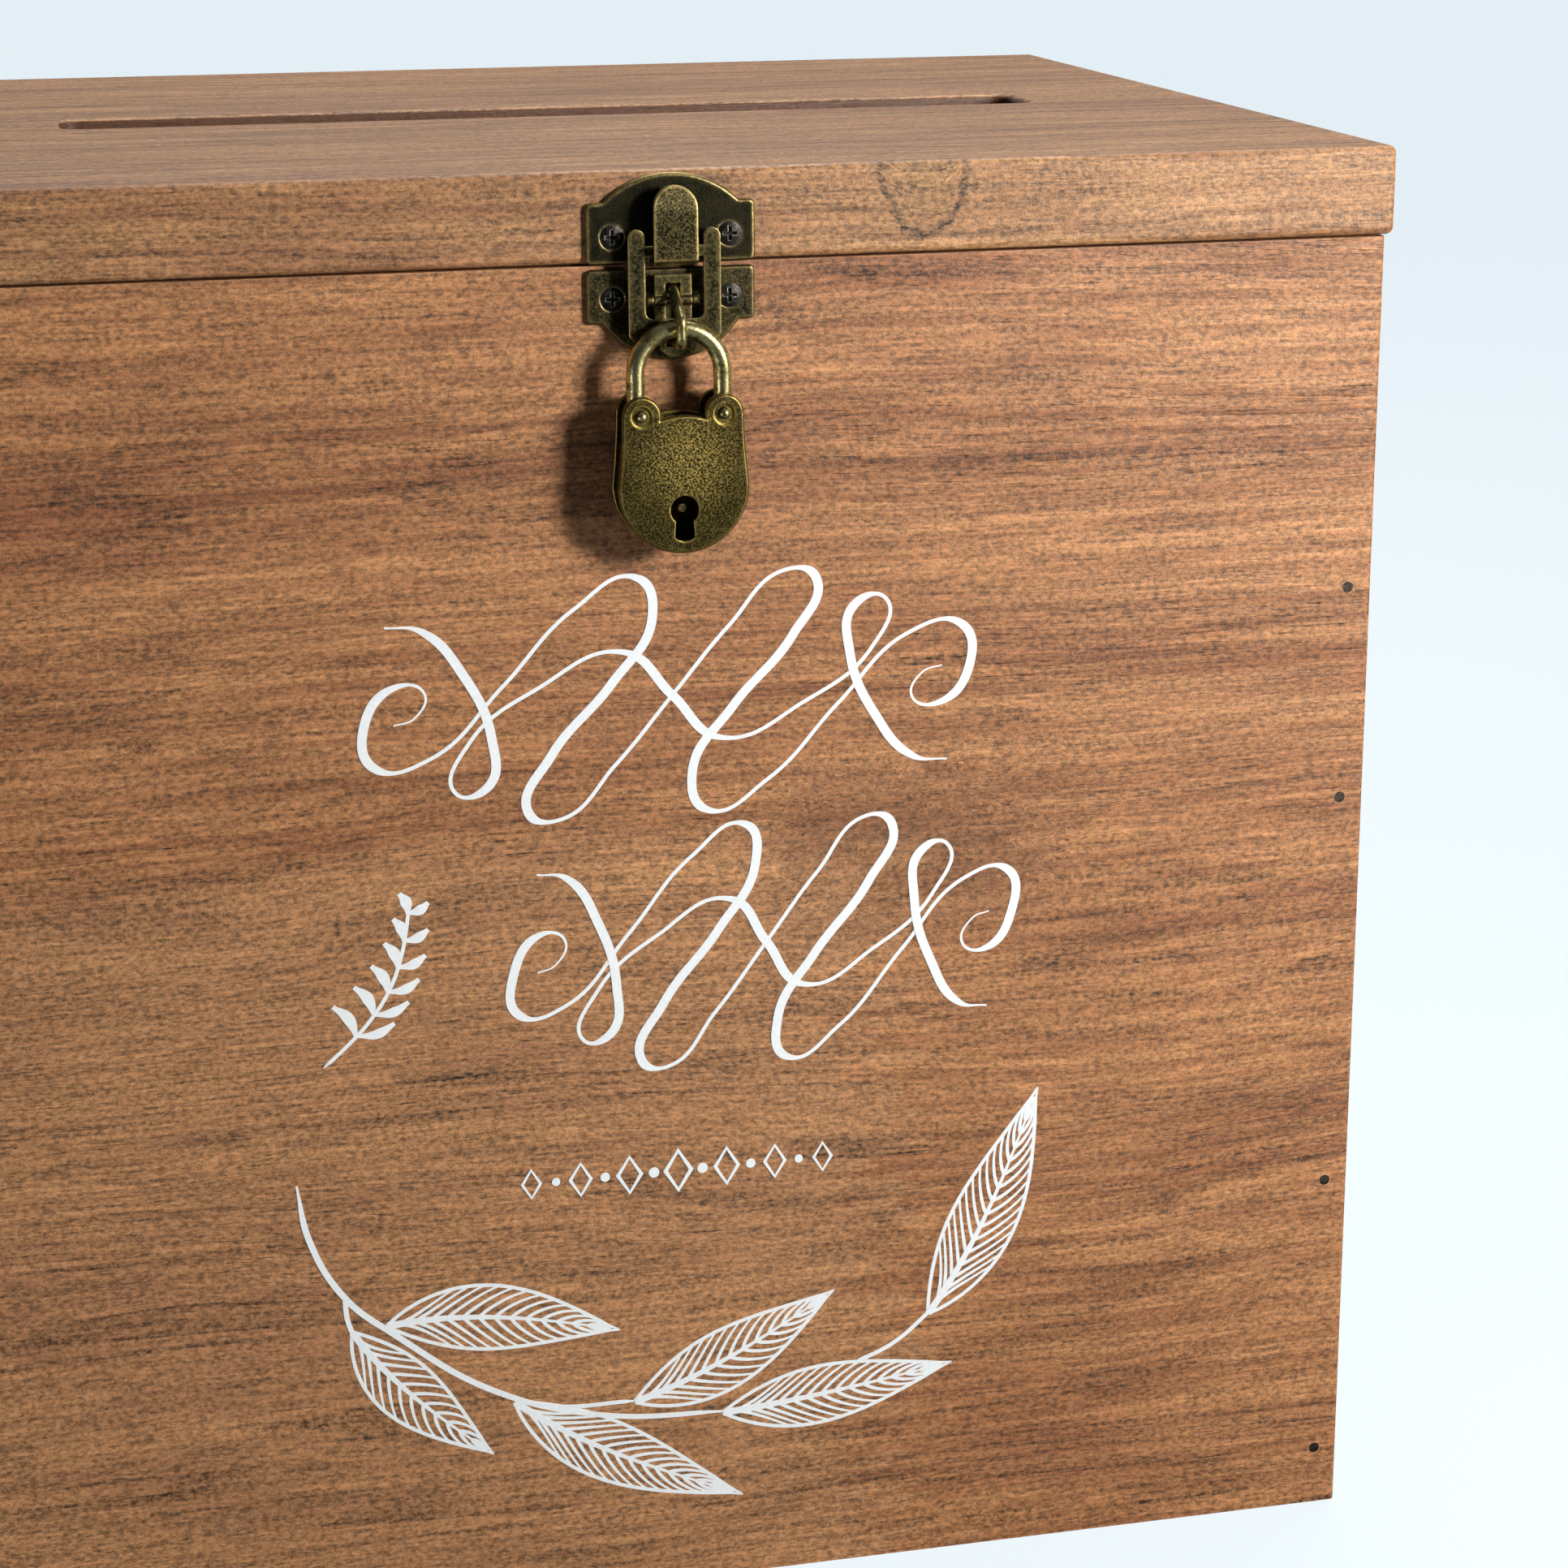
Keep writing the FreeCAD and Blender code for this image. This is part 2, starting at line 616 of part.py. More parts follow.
def keyhole():
    z = EARS_Z - KEYHOLE_DROP
    half = KEYHOLE_SLOT_W / 2
    low = z + KEYHOLE_R - KEYHOLE_L
    out = (LOCK_FRONT_OUT - LOCK_FRONT_T - 1, LOCK_FRONT_OUT + 1)
    head = y_rod(KEYHOLE_R, 0, z, FRONT_Y - out[1], FRONT_Y - out[0])
    foot = (half, low + 0.5), (0, low - 0.2, -half, low + 0.5)
    slot = out_slab(outline((-half * 0.8, z), (half * 0.8, z), *foot), *out)
    return head.fuse(slot).removeSplitter()


def rivet(x):
    """A rivet through both plates, with a domed end in a ring at the front."""
    rim = LOCK_FRONT_OUT - RIVET_RING_DEEP
    shaft = y_rod(RIVET_R, x, EARS_Z, FRONT_Y - rim, FRONT_Y - LOCK_BACK_OUT)
    dome = Part.makeSphere(RIVET_R, V(x, FRONT_Y - rim, EARS_Z))
    return shaft.fuse(dome).removeSplitter()


def rivet_bores():
    return [y_rod(RIVET_R, side * EAR_HALF_SPAN, EARS_Z, FRONT_Y - LOCK_FRONT_OUT - 1, FRONT_Y)
            for side in (-1, 1)]


def lock_front_plate():
    rim = LOCK_FRONT_OUT - LOCK_EDGE
    plate = out_slab(lock_outline(), LOCK_FRONT_OUT - LOCK_FRONT_T, rim)
    wide, narrow = lock_outline(), lock_outline(LOCK_EDGE)
    wide.translate(V(0, FRONT_Y - rim, 0))
    narrow.translate(V(0, FRONT_Y - LOCK_FRONT_OUT, 0))
    plate = plate.fuse(Part.makeLoft([wide, narrow], True, True)).removeSplitter()
    rings = [y_rod(RIVET_RING_R, side * EAR_HALF_SPAN, EARS_Z, FRONT_Y - LOCK_FRONT_OUT - 1,
                   FRONT_Y - LOCK_FRONT_OUT + RIVET_RING_DEEP) for side in (-1, 1)]
    return plate.cut(rings + rivet_bores() + [keyhole()])


def lock_back_plate():
    plate = out_slab(lock_outline(), LOCK_BACK_OUT, LOCK_BACK_OUT + LOCK_BACK_T)
    return plate.cut(rivet_bores())


def band_outline(inset):
    """The lock's sides and round bottom, closed straight across at the rivets."""
    half = LOCK_HALF_W - inset
    top_x = EAR_HALF_SPAN + EAR_R - inset
    side_z = (EARS_Z + LOCK_ROUND_Z) / 2
    side_x = (top_x + half) / 2 - SIDE_BELLY
    return outline(
        (top_x, EARS_Z),
        (side_x, side_z, half, LOCK_ROUND_Z),
        (0, LOCK_ROUND_Z - half, -half, LOCK_ROUND_Z),
        (-side_x, side_z, -top_x, EARS_Z),
    )


def lock_case_band():
    """The wall between the two plates, open at the top where the shackle swings."""
    out = (LOCK_BACK_OUT + LOCK_BACK_T, LOCK_FRONT_OUT - LOCK_FRONT_T)
    wall = out_slab(band_outline(BAND_INSET), *out)
    wall = wall.cut(out_slab(band_outline(BAND_INSET + BAND_T), out[0] - 1, out[1] + 1))
    wide = LOCK_HALF_W + 1
    y = (FRONT_Y - out[1] - 1, FRONT_Y - out[0] + 1)
    top = block(-wide, wide, *y, EARS_Z - BAND_OPEN_DROP, EARS_Z + EAR_R)
    return wall.cut(top)


def key_post():
    inside = FRONT_Y - LOCK_BACK_OUT - LOCK_BACK_T
    return y_rod(KEY_POST_R, 0, EARS_Z - KEYHOLE_DROP, inside - LOCK_INSIDE * 0.8, inside)


def shackle():
    """The bow: an eye round the left rivet, and a fork over the right one with a notch for the bolt."""
    y = FRONT_Y - SHACKLE_STANDOFF
    bow_z = SHACKLE_TOP_Z - SHACKLE_HALF_W
    leg_z = EARS_Z + EYE_R / 2
    circle = Part.Wire([Part.makeCircle(SHACKLE_R, V(-SHACKLE_HALF_W, y, leg_z), V(0, 0, 1))])
    path = Part.Wire([
        Part.LineSegment(V(-SHACKLE_HALF_W, y, leg_z), V(-SHACKLE_HALF_W, y, bow_z)).toShape(),
        Part.Arc(V(-SHACKLE_HALF_W, y, bow_z), V(0, y, SHACKLE_TOP_Z), V(SHACKLE_HALF_W, y, bow_z)).toShape(),
        Part.LineSegment(V(SHACKLE_HALF_W, y, bow_z), V(SHACKLE_HALF_W, y, leg_z)).toShape(),
    ])
    bow = path.makePipeShell([circle], True, False)
    span = EAR_HALF_SPAN
    ends = [y_rod(EYE_R, side * span, EARS_Z, y - EYE_T / 2, y + EYE_T / 2) for side in (-1, 1)]
    bolt_z = EARS_Z - BOLT_DROP
    tip_low = bolt_z - BOLT_H / 2 - RUN - TIP_UNDER
    fork_half = RIVET_R + FORK_CLEAR
    prong_x = (span - EYE_R, span - fork_half)
    ends.append(block(*prong_x, y - EYE_T / 2, y + EYE_T / 2, tip_low, EARS_Z))
    bow = bow.fuse(ends).removeSplitter()
    eye_bore = y_rod(RIVET_R + RUN, -span, EARS_Z, y - 2 * SHACKLE_R, y + 2 * SHACKLE_R)
    fork = block(span - fork_half, span + fork_half, y - EYE_T, y + EYE_T, EARS_Z - 2 * EYE_R, EARS_Z)
    fork = fork.fuse(y_rod(fork_half, span, EARS_Z, y - EYE_T, y + EYE_T))
    notch = block(span - EYE_R - 1, span - EYE_R + BOLT_BITE + RUN, y - EYE_T, y + EYE_T,
                  bolt_z - BOLT_H / 2 - RUN, bolt_z + BOLT_H / 2 + RUN)
    return bow.cut([eye_bore, fork, notch])


def lock_bolt():
    """A sliding bolt whose nose is in the shackle's notch, with a foot that the key pushes."""
    z = EARS_Z - BOLT_DROP
    y = FRONT_Y - SHACKLE_STANDOFF
    nose = EAR_HALF_SPAN - EYE_R + BOLT_BITE
    bar = block(nose - BOLT_L, nose, y - BOLT_T / 2, y + BOLT_T / 2, z - BOLT_H / 2, z + BOLT_H / 2)
    foot_x = nose - BOLT_L / 2 - BOLT_FOOT_W
    foot = block(foot_x, foot_x + BOLT_FOOT_W, y - BOLT_T / 2, y + BOLT_T / 2,
                 z - BOLT_FOOT_DROP, z)
    return bar.fuse(foot).removeSplitter()


def bolt_guide():
    """Two small cheeks behind the bolt, fixed to the back plate, that it slides between."""
    z = EARS_Z - BOLT_DROP
    y = FRONT_Y - LOCK_BACK_OUT - LOCK_BACK_T
    left = EAR_HALF_SPAN - EYE_R + BOLT_BITE - BOLT_L / 2 + LOOSE
    right = left + GUIDE_W
    front = y - LOCK_INSIDE * 0.75
    near = BOLT_H / 2 + RUN
    low = block(left, right, front, y, z - near - GUIDE_H, z - near)
    high = block(left, right, front, y, z + near, z + near + GUIDE_H)
    return group([low, high])


# ---- white vinyl decoration: thin film on the front panel ----
def lens(x, z, length, width, turn):
    """A leaf-shaped piece of film whose lower tip is at (x, z)."""
    wire = outline((0, 0), (-width / 2, length / 2, 0, length), (width / 2, length / 2, 0, 0))
    film = out_slab(wire, 0, VINYL_T)
    film.rotate(V(0, 0, 0), V(0, 1, 0), turn)
    film.translate(V(x, 0, z))
    return film


def scroll_film():
    """Two broad scrolls and a small divider under them, as plain outlines."""
    return group([lens(x, BODY_H * share, 2 * abs(x), width, 90) for x, share, width in SCROLL_BANDS])


def sprig_film():
    """A leafy sprig, as the plain outlines of its leaves."""
    return group([lens(x, BODY_H * share, *rest) for x, share, *rest in SPRIG_LEAVES])


def main():
    os.makedirs("parts", exist_ok=True)
    nodes = {
        "front_panel": front_panel(),
        "back_panel": back_panel(),
        "left_side": side_panel(-1),
        "right_side": side_panel(1),
        "bottom_board": bottom_board(),
        "front_brads": group(front_brads()),
        "back_brads": group(back_brads()),
        "bottom_brads": group(bottom_brads()),
        "lid_board": lid_board(),
        "hinge_body_screws": screws(hinge_screw_places(-1)),
        "hinge_lid_screws": screws(hinge_screw_places(1)),
        "catch_plate": catch_plate(),
        "catch_screws": screws(catch_screw_places()),
        "latch_base": latch_base(),
        "base_screws": screws(base_screw_places()),
        "lock_staple": lock_staple(),
        "lever_pin": latch_pin(LEVER_PIVOT_Z),
        "latch_lever": latch_lever(),
        "link_pin": latch_pin(LINK_PIN_Z),
        "latch_link": latch_link(),
        "shackle": shackle(),
        "lock_front_plate": lock_front_plate(),
        "lock_back_plate": lock_back_plate(),
        "lock_case_band": lock_case_band(),
        "shackle_rivet": rivet(-EAR_HALF_SPAN),
        "keeper_rivet": rivet(EAR_HALF_SPAN),
        "key_post": key_post(),
        "lock_bolt": lock_bolt(),
        "bolt_guide": bolt_guide(),
        "scroll_film": scroll_film(),
        "sprig_film": sprig_film(),
    }
    for side, x in (("left", -HINGE_X), ("right", HINGE_X)):
        nodes[f"hinge_body_leaf_{side}"] = hinge_leaf(x, -1)
        nodes[f"hinge_lid_leaf_{side}"] = hinge_leaf(x, 1)
        nodes[f"hinge_pin_{side}"] = hinge_pin(x)
    for name, shape in nodes.items():
        shape.exportStep(f"parts/{name}.step")
        print(f"{name}: {len(shape.Solids)} solid(s), {shape.Volume:.1f} mm3, valid {shape.isValid()}")


main()
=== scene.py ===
# %% [markdown]
# # A wooden wedding card box with a latch and a small padlock
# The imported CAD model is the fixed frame: its boards, hinges, latch and lock already have their
# real shape and move on their joints. This lesson gives each of them its finish, cuts the white
# vinyl decoration on the front, and lights the whole like an object on a pale table.
# Blender works in metres here, so one millimetre gets a name of its own.

# %% Load the frame
import json
import math

import bmesh
import bpy
from mathutils import Matrix, Vector


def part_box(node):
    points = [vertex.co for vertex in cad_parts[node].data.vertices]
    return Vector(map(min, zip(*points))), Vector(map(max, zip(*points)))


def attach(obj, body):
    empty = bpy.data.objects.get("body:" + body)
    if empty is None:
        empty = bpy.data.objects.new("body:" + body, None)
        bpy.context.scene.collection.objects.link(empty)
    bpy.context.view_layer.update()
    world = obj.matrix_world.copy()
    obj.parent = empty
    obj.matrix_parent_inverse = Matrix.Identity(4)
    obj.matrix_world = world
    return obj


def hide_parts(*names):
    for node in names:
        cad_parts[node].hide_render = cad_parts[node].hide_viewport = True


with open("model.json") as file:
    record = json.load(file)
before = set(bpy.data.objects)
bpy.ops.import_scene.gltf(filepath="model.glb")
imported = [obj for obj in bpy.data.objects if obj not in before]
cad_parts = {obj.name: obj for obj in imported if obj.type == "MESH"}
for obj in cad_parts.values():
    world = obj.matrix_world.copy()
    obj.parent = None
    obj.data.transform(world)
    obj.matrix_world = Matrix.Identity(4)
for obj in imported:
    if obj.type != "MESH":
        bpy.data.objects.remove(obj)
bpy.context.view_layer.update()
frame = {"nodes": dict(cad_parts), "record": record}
MM = 0.001
nodes = frame["nodes"]

# %% [markdown]
# The camera stands at the height of a seated person's eyes, a little left of the box's middle,
# and looks down to the right. A long lens keeps the upright edges nearly parallel. Three turns
# place it: about the vertical, then down from level, then a slight roll.

# %% Camera
CAMERA_PLACE = Vector((-0.1213, -0.6744, 0.3165))
CAMERA_RIGHT_TURN = math.radians(13.75)
CAMERA_DOWN = math.radians(15.955)
CAMERA_ROLL = math.radians(0.278)
SENSOR_WIDTH_MM = 36.0
LENS_MM = 82.44

camera_data = bpy.data.cameras.new("camera")
camera_data.sensor_width = SENSOR_WIDTH_MM
camera_data.lens = LENS_MM
camera = bpy.data.objects.new("camera", camera_data)
bpy.context.scene.collection.objects.link(camera)
aim = (Matrix.Rotation(-CAMERA_RIGHT_TURN, 4, "Z")
       @ Matrix.Rotation(math.radians(90) - CAMERA_DOWN, 4, "X")
       @ Matrix.Rotation(-CAMERA_ROLL, 4, "Z"))
camera.matrix_world = Matrix.Translation(CAMERA_PLACE) @ aim
bpy.context.scene.camera = camera
print("camera looks along", [round(v, 3) for v in aim @ Vector((0, 0, -1))])

# %% [markdown]
# ## Helpers
# Materials and geometry are trees of nodes, and a tree written out in full hides its idea. The
# first helper adds a node and fills or links its inputs, and the second gives its first output.

# %% Helpers that add a node
def add(tree, kind, values=None, **settings):
    """A new node. values go to its inputs: a socket is linked, anything else is set."""
    made = tree.nodes.new(kind)
    for name, setting in settings.items():
        setattr(made, name, setting)
    for key, value in (values or {}).items():
        if isinstance(value, bpy.types.NodeSocket):
            tree.links.new(value, made.inputs[key])
        else:
            made.inputs[key].default_value = value
    return made


def first(tree, kind, values=None, **settings):
    """The first output of a new node."""
    return add(tree, kind, values, **settings).outputs[0]


print("a node can be added")

# %% [markdown]
# Sums on values and on vectors get short names, so that a formula in nodes still reads like one.

# %% Helpers for sums
def step(tree, operation, a, b=0.0, clamp=False):
    """The result of one arithmetic step on one or two values."""
    return first(tree, "ShaderNodeMath", {0: a, 1: b}, operation=operation, use_clamp=clamp)


def plus(tree, a, b):
    """The sum a + b."""
    return step(tree, "ADD", a, b)


def minus(tree, a, b):
    """The difference a - b."""
    return step(tree, "SUBTRACT", a, b)


def times(tree, a, b, clamp=False):
    """The product of a and b, kept between 0 and 1 if clamp is set."""
    return step(tree, "MULTIPLY", a, b, clamp)


def over(tree, a, b):
    """The quotient a / b."""
    return step(tree, "DIVIDE", a, b)


def vector_step(tree, operation, a, b):
    """The result of one arithmetic step on two vectors."""
    return first(tree, "ShaderNodeVectorMath", {0: a, 1: b}, operation=operation)


def stretched(tree, vector, share):
    """The vector times one number."""
    return first(tree, "ShaderNodeVectorMath", {0: vector, "Scale": share}, operation="SCALE")


def length_of(tree, vector):
    """The length of a vector."""
    return add(tree, "ShaderNodeVectorMath", {0: vector}, operation="LENGTH").outputs["Value"]


def vector_of(tree, **axes):
    """A vector from its X, Y and Z; one that isn't given is 0."""
    return first(tree, "ShaderNodeCombineXYZ", axes)


def axes_of(tree, vector):
    """The X, Y and Z of a vector."""
    return add(tree, "ShaderNodeSeparateXYZ", {0: vector}).outputs


print("sums are ready")

# %% [markdown]
# Nearly every mask in this lesson is a smooth noise or a distance, eased between two levels, and
# nearly every colour is a blend of two others by such a mask.

# %% Helpers for masks, colours and groups
def ease(tree, value, low, high, to_low=0.0, to_high=1.0):
    """value eased from to_low, where it is at low, to to_high, where it is at high."""
    return add(tree, "ShaderNodeMapRange",
               {"Value": value, "From Min": low, "From Max": high,
                "To Min": to_low, "To Max": to_high},
               interpolation_type="SMOOTHSTEP").outputs["Result"]


def blend_colours(tree, share, a, b, how="MIX"):
    """Colour a with a share of colour b."""
    return add(tree, "ShaderNodeMix", {0: share, 6: a, 7: b},
               data_type="RGBA", blend_type=how).outputs[2]


def noise(tree, place, scale, detail=2.0, rough=0.5):
    """Smooth random values, about 0.5, at a place."""
    return add(tree, "ShaderNodeTexNoise", {"Vector": place, "Scale": scale, "Detail": detail,
                                            "Roughness": rough}).outputs["Fac"]


def effect_group(name, inputs, outputs):
    """An empty node group with named sockets, and its input and output nodes' sockets."""
    tree = bpy.data.node_groups.new(name, "ShaderNodeTree")
    for label, kind, value in inputs:
        socket = tree.interface.new_socket(label, in_out="INPUT", socket_type="NodeSocket" + kind)
        socket.default_value = value
    for label, kind in outputs:
        tree.interface.new_socket(label, in_out="OUTPUT", socket_type="NodeSocket" + kind)
    given = tree.nodes.new("NodeGroupInput").outputs
    result = tree.nodes.new("NodeGroupOutput").inputs
    return tree, given, result


def place_group(tree, group, values):
    """The outputs of a group placed in a material with its own values."""
    return add(tree, "ShaderNodeGroup", values, node_tree=group).outputs


def in_millimetres(tree, place):
    """The place in millimetres, for effects whose sizes are easier to say that way."""
    return stretched(tree, place, 1 / MM)


print("masks, colours and groups are ready")

# %% [markdown]
# ## Floor and room
# The table is a pale floor that runs on past the horizon, so no edge shows behind the box. Seen
# straight it glows a little, which keeps it nearly white without throwing light on the box.

# %% Floor
FLOOR_REACH = 12.0
FLOOR_COLOUR = (0.12, 0.13, 0.13, 1)
FLOOR_GLOW = 0.89
ROOM_COLOUR = (0.84, 0.93, 0.99, 1)

floor_mesh = bpy.data.meshes.new("floor")
corners = [(x * FLOOR_REACH, y * FLOOR_REACH, 0) for x, y in ((-1, -1), (1, -1), (1, 1), (-1, 1))]
floor_mesh.from_pydata(corners, [], [(0, 1, 2, 3)])
floor = bpy.data.objects.new("floor", floor_mesh)
bpy.context.scene.collection.objects.link(floor)
floor_paint = bpy.data.materials.new("pale_table")
floor_paint.use_nodes = True
tree = floor_paint.node_tree
table = tree.nodes["Principled BSDF"].inputs
table["Base Color"].default_value = FLOOR_COLOUR
table["Roughness"].default_value = 0.8
table["Specular IOR Level"].default_value = 0.1
table["Emission Color"].default_value = ROOM_COLOUR
seen_straight = tree.nodes.new("ShaderNodeLightPath").outputs["Is Camera Ray"]
tree.links.new(times(tree, seen_straight, FLOOR_GLOW), table["Emission Strength"])
floor_mesh.materials.append(floor_paint)
print("floor reaches", FLOOR_REACH, "m each way")

# %% [markdown]
# The room is pale too. Seen straight it is an even bluish white, but as a source of light it is
# bright only above and behind the box: dark metal needs a dark side to reflect, or it goes grey.
# The plain view transform shows the colours as they are mixed.

# %% Room
BASE_LIGHT = 0.015
BACK_LIGHT = 0.32
SKY_LIGHT = 0.09

room = bpy.data.worlds.new("pale_room")
bpy.context.scene.world = room
room.use_nodes = True
tree = room.node_tree
shine = tree.nodes["Background"]
seen_straight = tree.nodes.new("ShaderNodeLightPath").outputs["Is Camera Ray"]
way = axes_of(tree, tree.nodes.new("ShaderNodeTexCoord").outputs["Generated"])
from_back = ease(tree, way["Y"], -0.1, 0.8, BASE_LIGHT, BACK_LIGHT)
from_above = ease(tree, way["Z"], 0.1, 0.9, 0.0, SKY_LIGHT)
strength = first(tree, "ShaderNodeMix",
                 {0: seen_straight, 2: plus(tree, from_back, from_above), 3: 1.0},
                 data_type="FLOAT")
tree.links.new(strength, shine.inputs["Strength"])
shine.inputs["Color"].default_value = ROOM_COLOUR
bpy.context.scene.view_settings.view_transform = "Standard"
print("room light from behind:", BACK_LIGHT, "and from above:", SKY_LIGHT)

# %% [markdown]
# ## Lamps
# The main lamp stands to the right of the camera and a little higher than the lock, so the
# latch throws a soft shadow to the left and slightly down. It is near enough for the right of
# the front to be brighter than the left. Weaker ones fill the lid, the foot of the front and
# the back. None of them stands where the metal would mirror it to the camera.

# %% Lamps
front_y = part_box("front_panel")[0].y
lock_low, lock_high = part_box("lock_front_plate")
lock_middle = (lock_low + lock_high) / 2
TO_LAMP = Vector((8.5, -9.0, 3.4)).normalized()
LAMP_DISTANCE = 0.58
LAMPS = [  # name, place, target, size in m, watts, colour
    ("side_lamp", lock_middle + TO_LAMP * LAMP_DISTANCE, lock_middle, 0.13, 4.8, (1.0, 0.96, 0.91)),
    ("top_lamp", (0.25, 0.35, 1.3), (0, 0, 0.25), 0.7, 12.5, (1.0, 0.96, 0.90)),
    ("low_right_lamp", (0.38, -0.40, 0.02), (0.03, front_y, 0.03), 0.20, 0.45, (1.0, 0.97, 0.93)),
    ("low_left_lamp", (-0.42, -0.34, 0.02), (-0.08, front_y, 0.03), 0.20, 0.55, (1.0, 0.97, 0.93)),
    ("back_lamp", (-0.95, 0.95, 0.33), (0, 0, 0.12), 0.5, 9.0, (1.0, 0.97, 0.93))]

for name, place, target, size, watts, colour in LAMPS:
    lamp_data = bpy.data.lights.new(name, "AREA")
    lamp_data.size = size
    lamp_data.energy = watts
    lamp_data.color = colour
    lamp = bpy.data.objects.new(name, lamp_data)
    lamp.location = place
    to_target = Vector(target) - Vector(place)
    lamp.rotation_euler = to_target.to_track_quat("-Z", "Y").to_euler()
    bpy.context.scene.collection.objects.link(lamp)
print("lamps:", [lamp[0] for lamp in LAMPS])

# %% [markdown]
# ## Stained softwood
# The boards are pine under a brown stain and a thin satin varnish. Wood is a solid: its streaks
# run through the board, so the pattern is made in space and not wrapped on the faces. One group
# makes the pattern for every board, and each board starts from another place in it.

# %% Wood group: its inputs
wood_group, given, result = effect_group(
    "stained_softwood",
    [("Place", "Vector", (0, 0, 0)), ("Board Start", "Vector", (0, 0, 0)),
     ("Dark Stain", "Color", (0.2, 0.08, 0.04, 1)), ("Light Stain", "Color", (0.5, 0.28, 0.15, 1)),
     ("Red Stain", "Color", (0.3, 0.1, 0.05, 1)), ("Knot Place", "Vector", (0, 0, 0)),
     ("Knot Shape", "Vector", (1, 1, 1)), ("Knot Reach", "Float", 10.0),
     ("Knot Rag", "Float", 7.0), ("Knot Depth", "Float", 0.0), ("Knot Rim", "Float", 0.0),
     ("Knot Stain", "Color", (0.2, 0.1, 0.06, 1)), ("Sap Corner", "Vector", (0, 0, 0)),
     ("Sap Share", "Float", 0.0), ("Sap Stain", "Color", (0.4, 0.2, 0.1, 1))],
    [("Color", "Color"), ("Height", "Float"), ("Roughness", "Float")])
tree = wood_group
in_mm = in_millimetres(tree, given["Place"])
print("wood group inputs:", [item.name for item in tree.interface.items_tree])

# %% [markdown]
# A knot is an oval of other-coloured wood round the place where a branch grew. Noise makes its
# outline ragged. Its rim can be a thin dark line, as where bark was shut in.

# %% Wood group: the knot
RAG_LOW, RAG_HIGH = 0.25, 0.75

to_knot = vector_step(tree, "SUBTRACT", in_mm, given["Knot Place"])
knot_gap = length_of(tree, vector_step(tree, "MULTIPLY", to_knot, given["Knot Shape"]))
ragged = noise(tree, vector_step(tree, "MULTIPLY", in_mm, (0.5, 1, 1)), 0.22, 4, 0.65)
ragged = ease(tree, ragged, RAG_LOW, RAG_HIGH, -1.0, 1.0)
knot_gap = plus(tree, knot_gap, times(tree, ragged, given["Knot Rag"]))
knot_share = over(tree, knot_gap, given["Knot Reach"])
in_knot = times(tree, ease(tree, knot_share, 1.15, 0.35), given["Knot Depth"])
off_rim = step(tree, "ABSOLUTE", minus(tree, knot_share, 1.0))
knot_rim = times(tree, ease(tree, off_rim, 0.13, 0.02), given["Knot Rim"])
print("knot made")

# %% [markdown]
# The grain runs along X. A slow noise bends it, and it also sweeps round the knot, so that no
# line is ruled straight. Noise drawn out along this bent grain gives every size of mark: broad
# bands, patches, streaks, hairs, short dark pores, and a fine grit of open fibres.

# %% Wood group: layers of noise along the grain
BEND_MM = 3.5

moved = vector_step(tree, "ADD", in_mm, given["Board Start"])
slow = noise(tree, vector_step(tree, "MULTIPLY", moved, (0.30, 1, 1)), 0.016, 2, 0.5)
bend = plus(tree, ease(tree, slow, 0.2, 0.8, -BEND_MM, BEND_MM), times(tree, in_knot, BEND_MM))
grain = vector_step(tree, "ADD", moved, vector_of(tree, Y=bend, Z=bend))


def along_grain(stretch, scale, detail, rough):
    """Noise whose marks are 1 / scale mm wide and 1 / stretch times as long, with the grain."""
    drawn_out = vector_step(tree, "MULTIPLY", grain, (stretch, 1, 1))
    return noise(tree, drawn_out, scale, detail, rough)


bands = along_grain(0.04, 0.05, 3, 0.55)
patches = along_grain(0.25, 0.03, 3, 0.55)
streaks = along_grain(0.03, 0.45, 5, 0.65)
hairs = along_grain(0.04, 1.5, 3, 0.65)
pores = times(tree, ease(tree, along_grain(0.05, 2.2, 2, 0.6), 0.58, 0.70),
              ease(tree, bands, 0.62, 0.42, 0.15, 1.0))
grit = along_grain(0.6, 1.5, 3, 0.75)
print("layers of noise made")

# %% [markdown]
# A tree adds a ring each year: pale early wood that darkens slowly to a thin late line and stops
# short. The fraction of a slow noise rises and drops in just that way. Sapwood, the outer wood,
# stains paler: it fills the room left of and below a corner, with a ragged end.

# %% Wood group: year rings and sapwood
YEARS = 13.0
LATE_AT = 0.86
SAP_RAG_MM = 17.0

year = step(tree, "FRACT", times(tree, along_grain(0.06, 0.035, 3, 0.5), YEARS))
rising = over(tree, year, LATE_AT)
falling = over(tree, minus(tree, 1.0, year), 1 - LATE_AT)
late = step(tree, "POWER", step(tree, "MINIMUM", rising, falling), 3.0)
late = times(tree, late, ease(tree, patches, 0.35, 0.62, 0.25, 1.0))

from_corner = axes_of(tree, vector_step(tree, "SUBTRACT", in_mm, given["Sap Corner"]))
sap_end = ease(tree, along_grain(0.16, 0.30, 4, 0.65), RAG_LOW, RAG_HIGH, -SAP_RAG_MM, SAP_RAG_MM)
sap = ease(tree, plus(tree, from_corner["X"], sap_end), 2.5, -2.5)
sap_top = plus(tree, from_corner["Z"], times(tree, bend, 2.0))
sap = times(tree, sap, ease(tree, sap_top, 6.0, -6.0, 0.0, given["Sap Share"]))
print("rings and sapwood made")

# %% [markdown]
# The colour starts as a blend of the dark and the light stain, goes redder in patches, takes the
# knot's and the sapwood's own stain, and is then darkened or lightened by the fine marks.

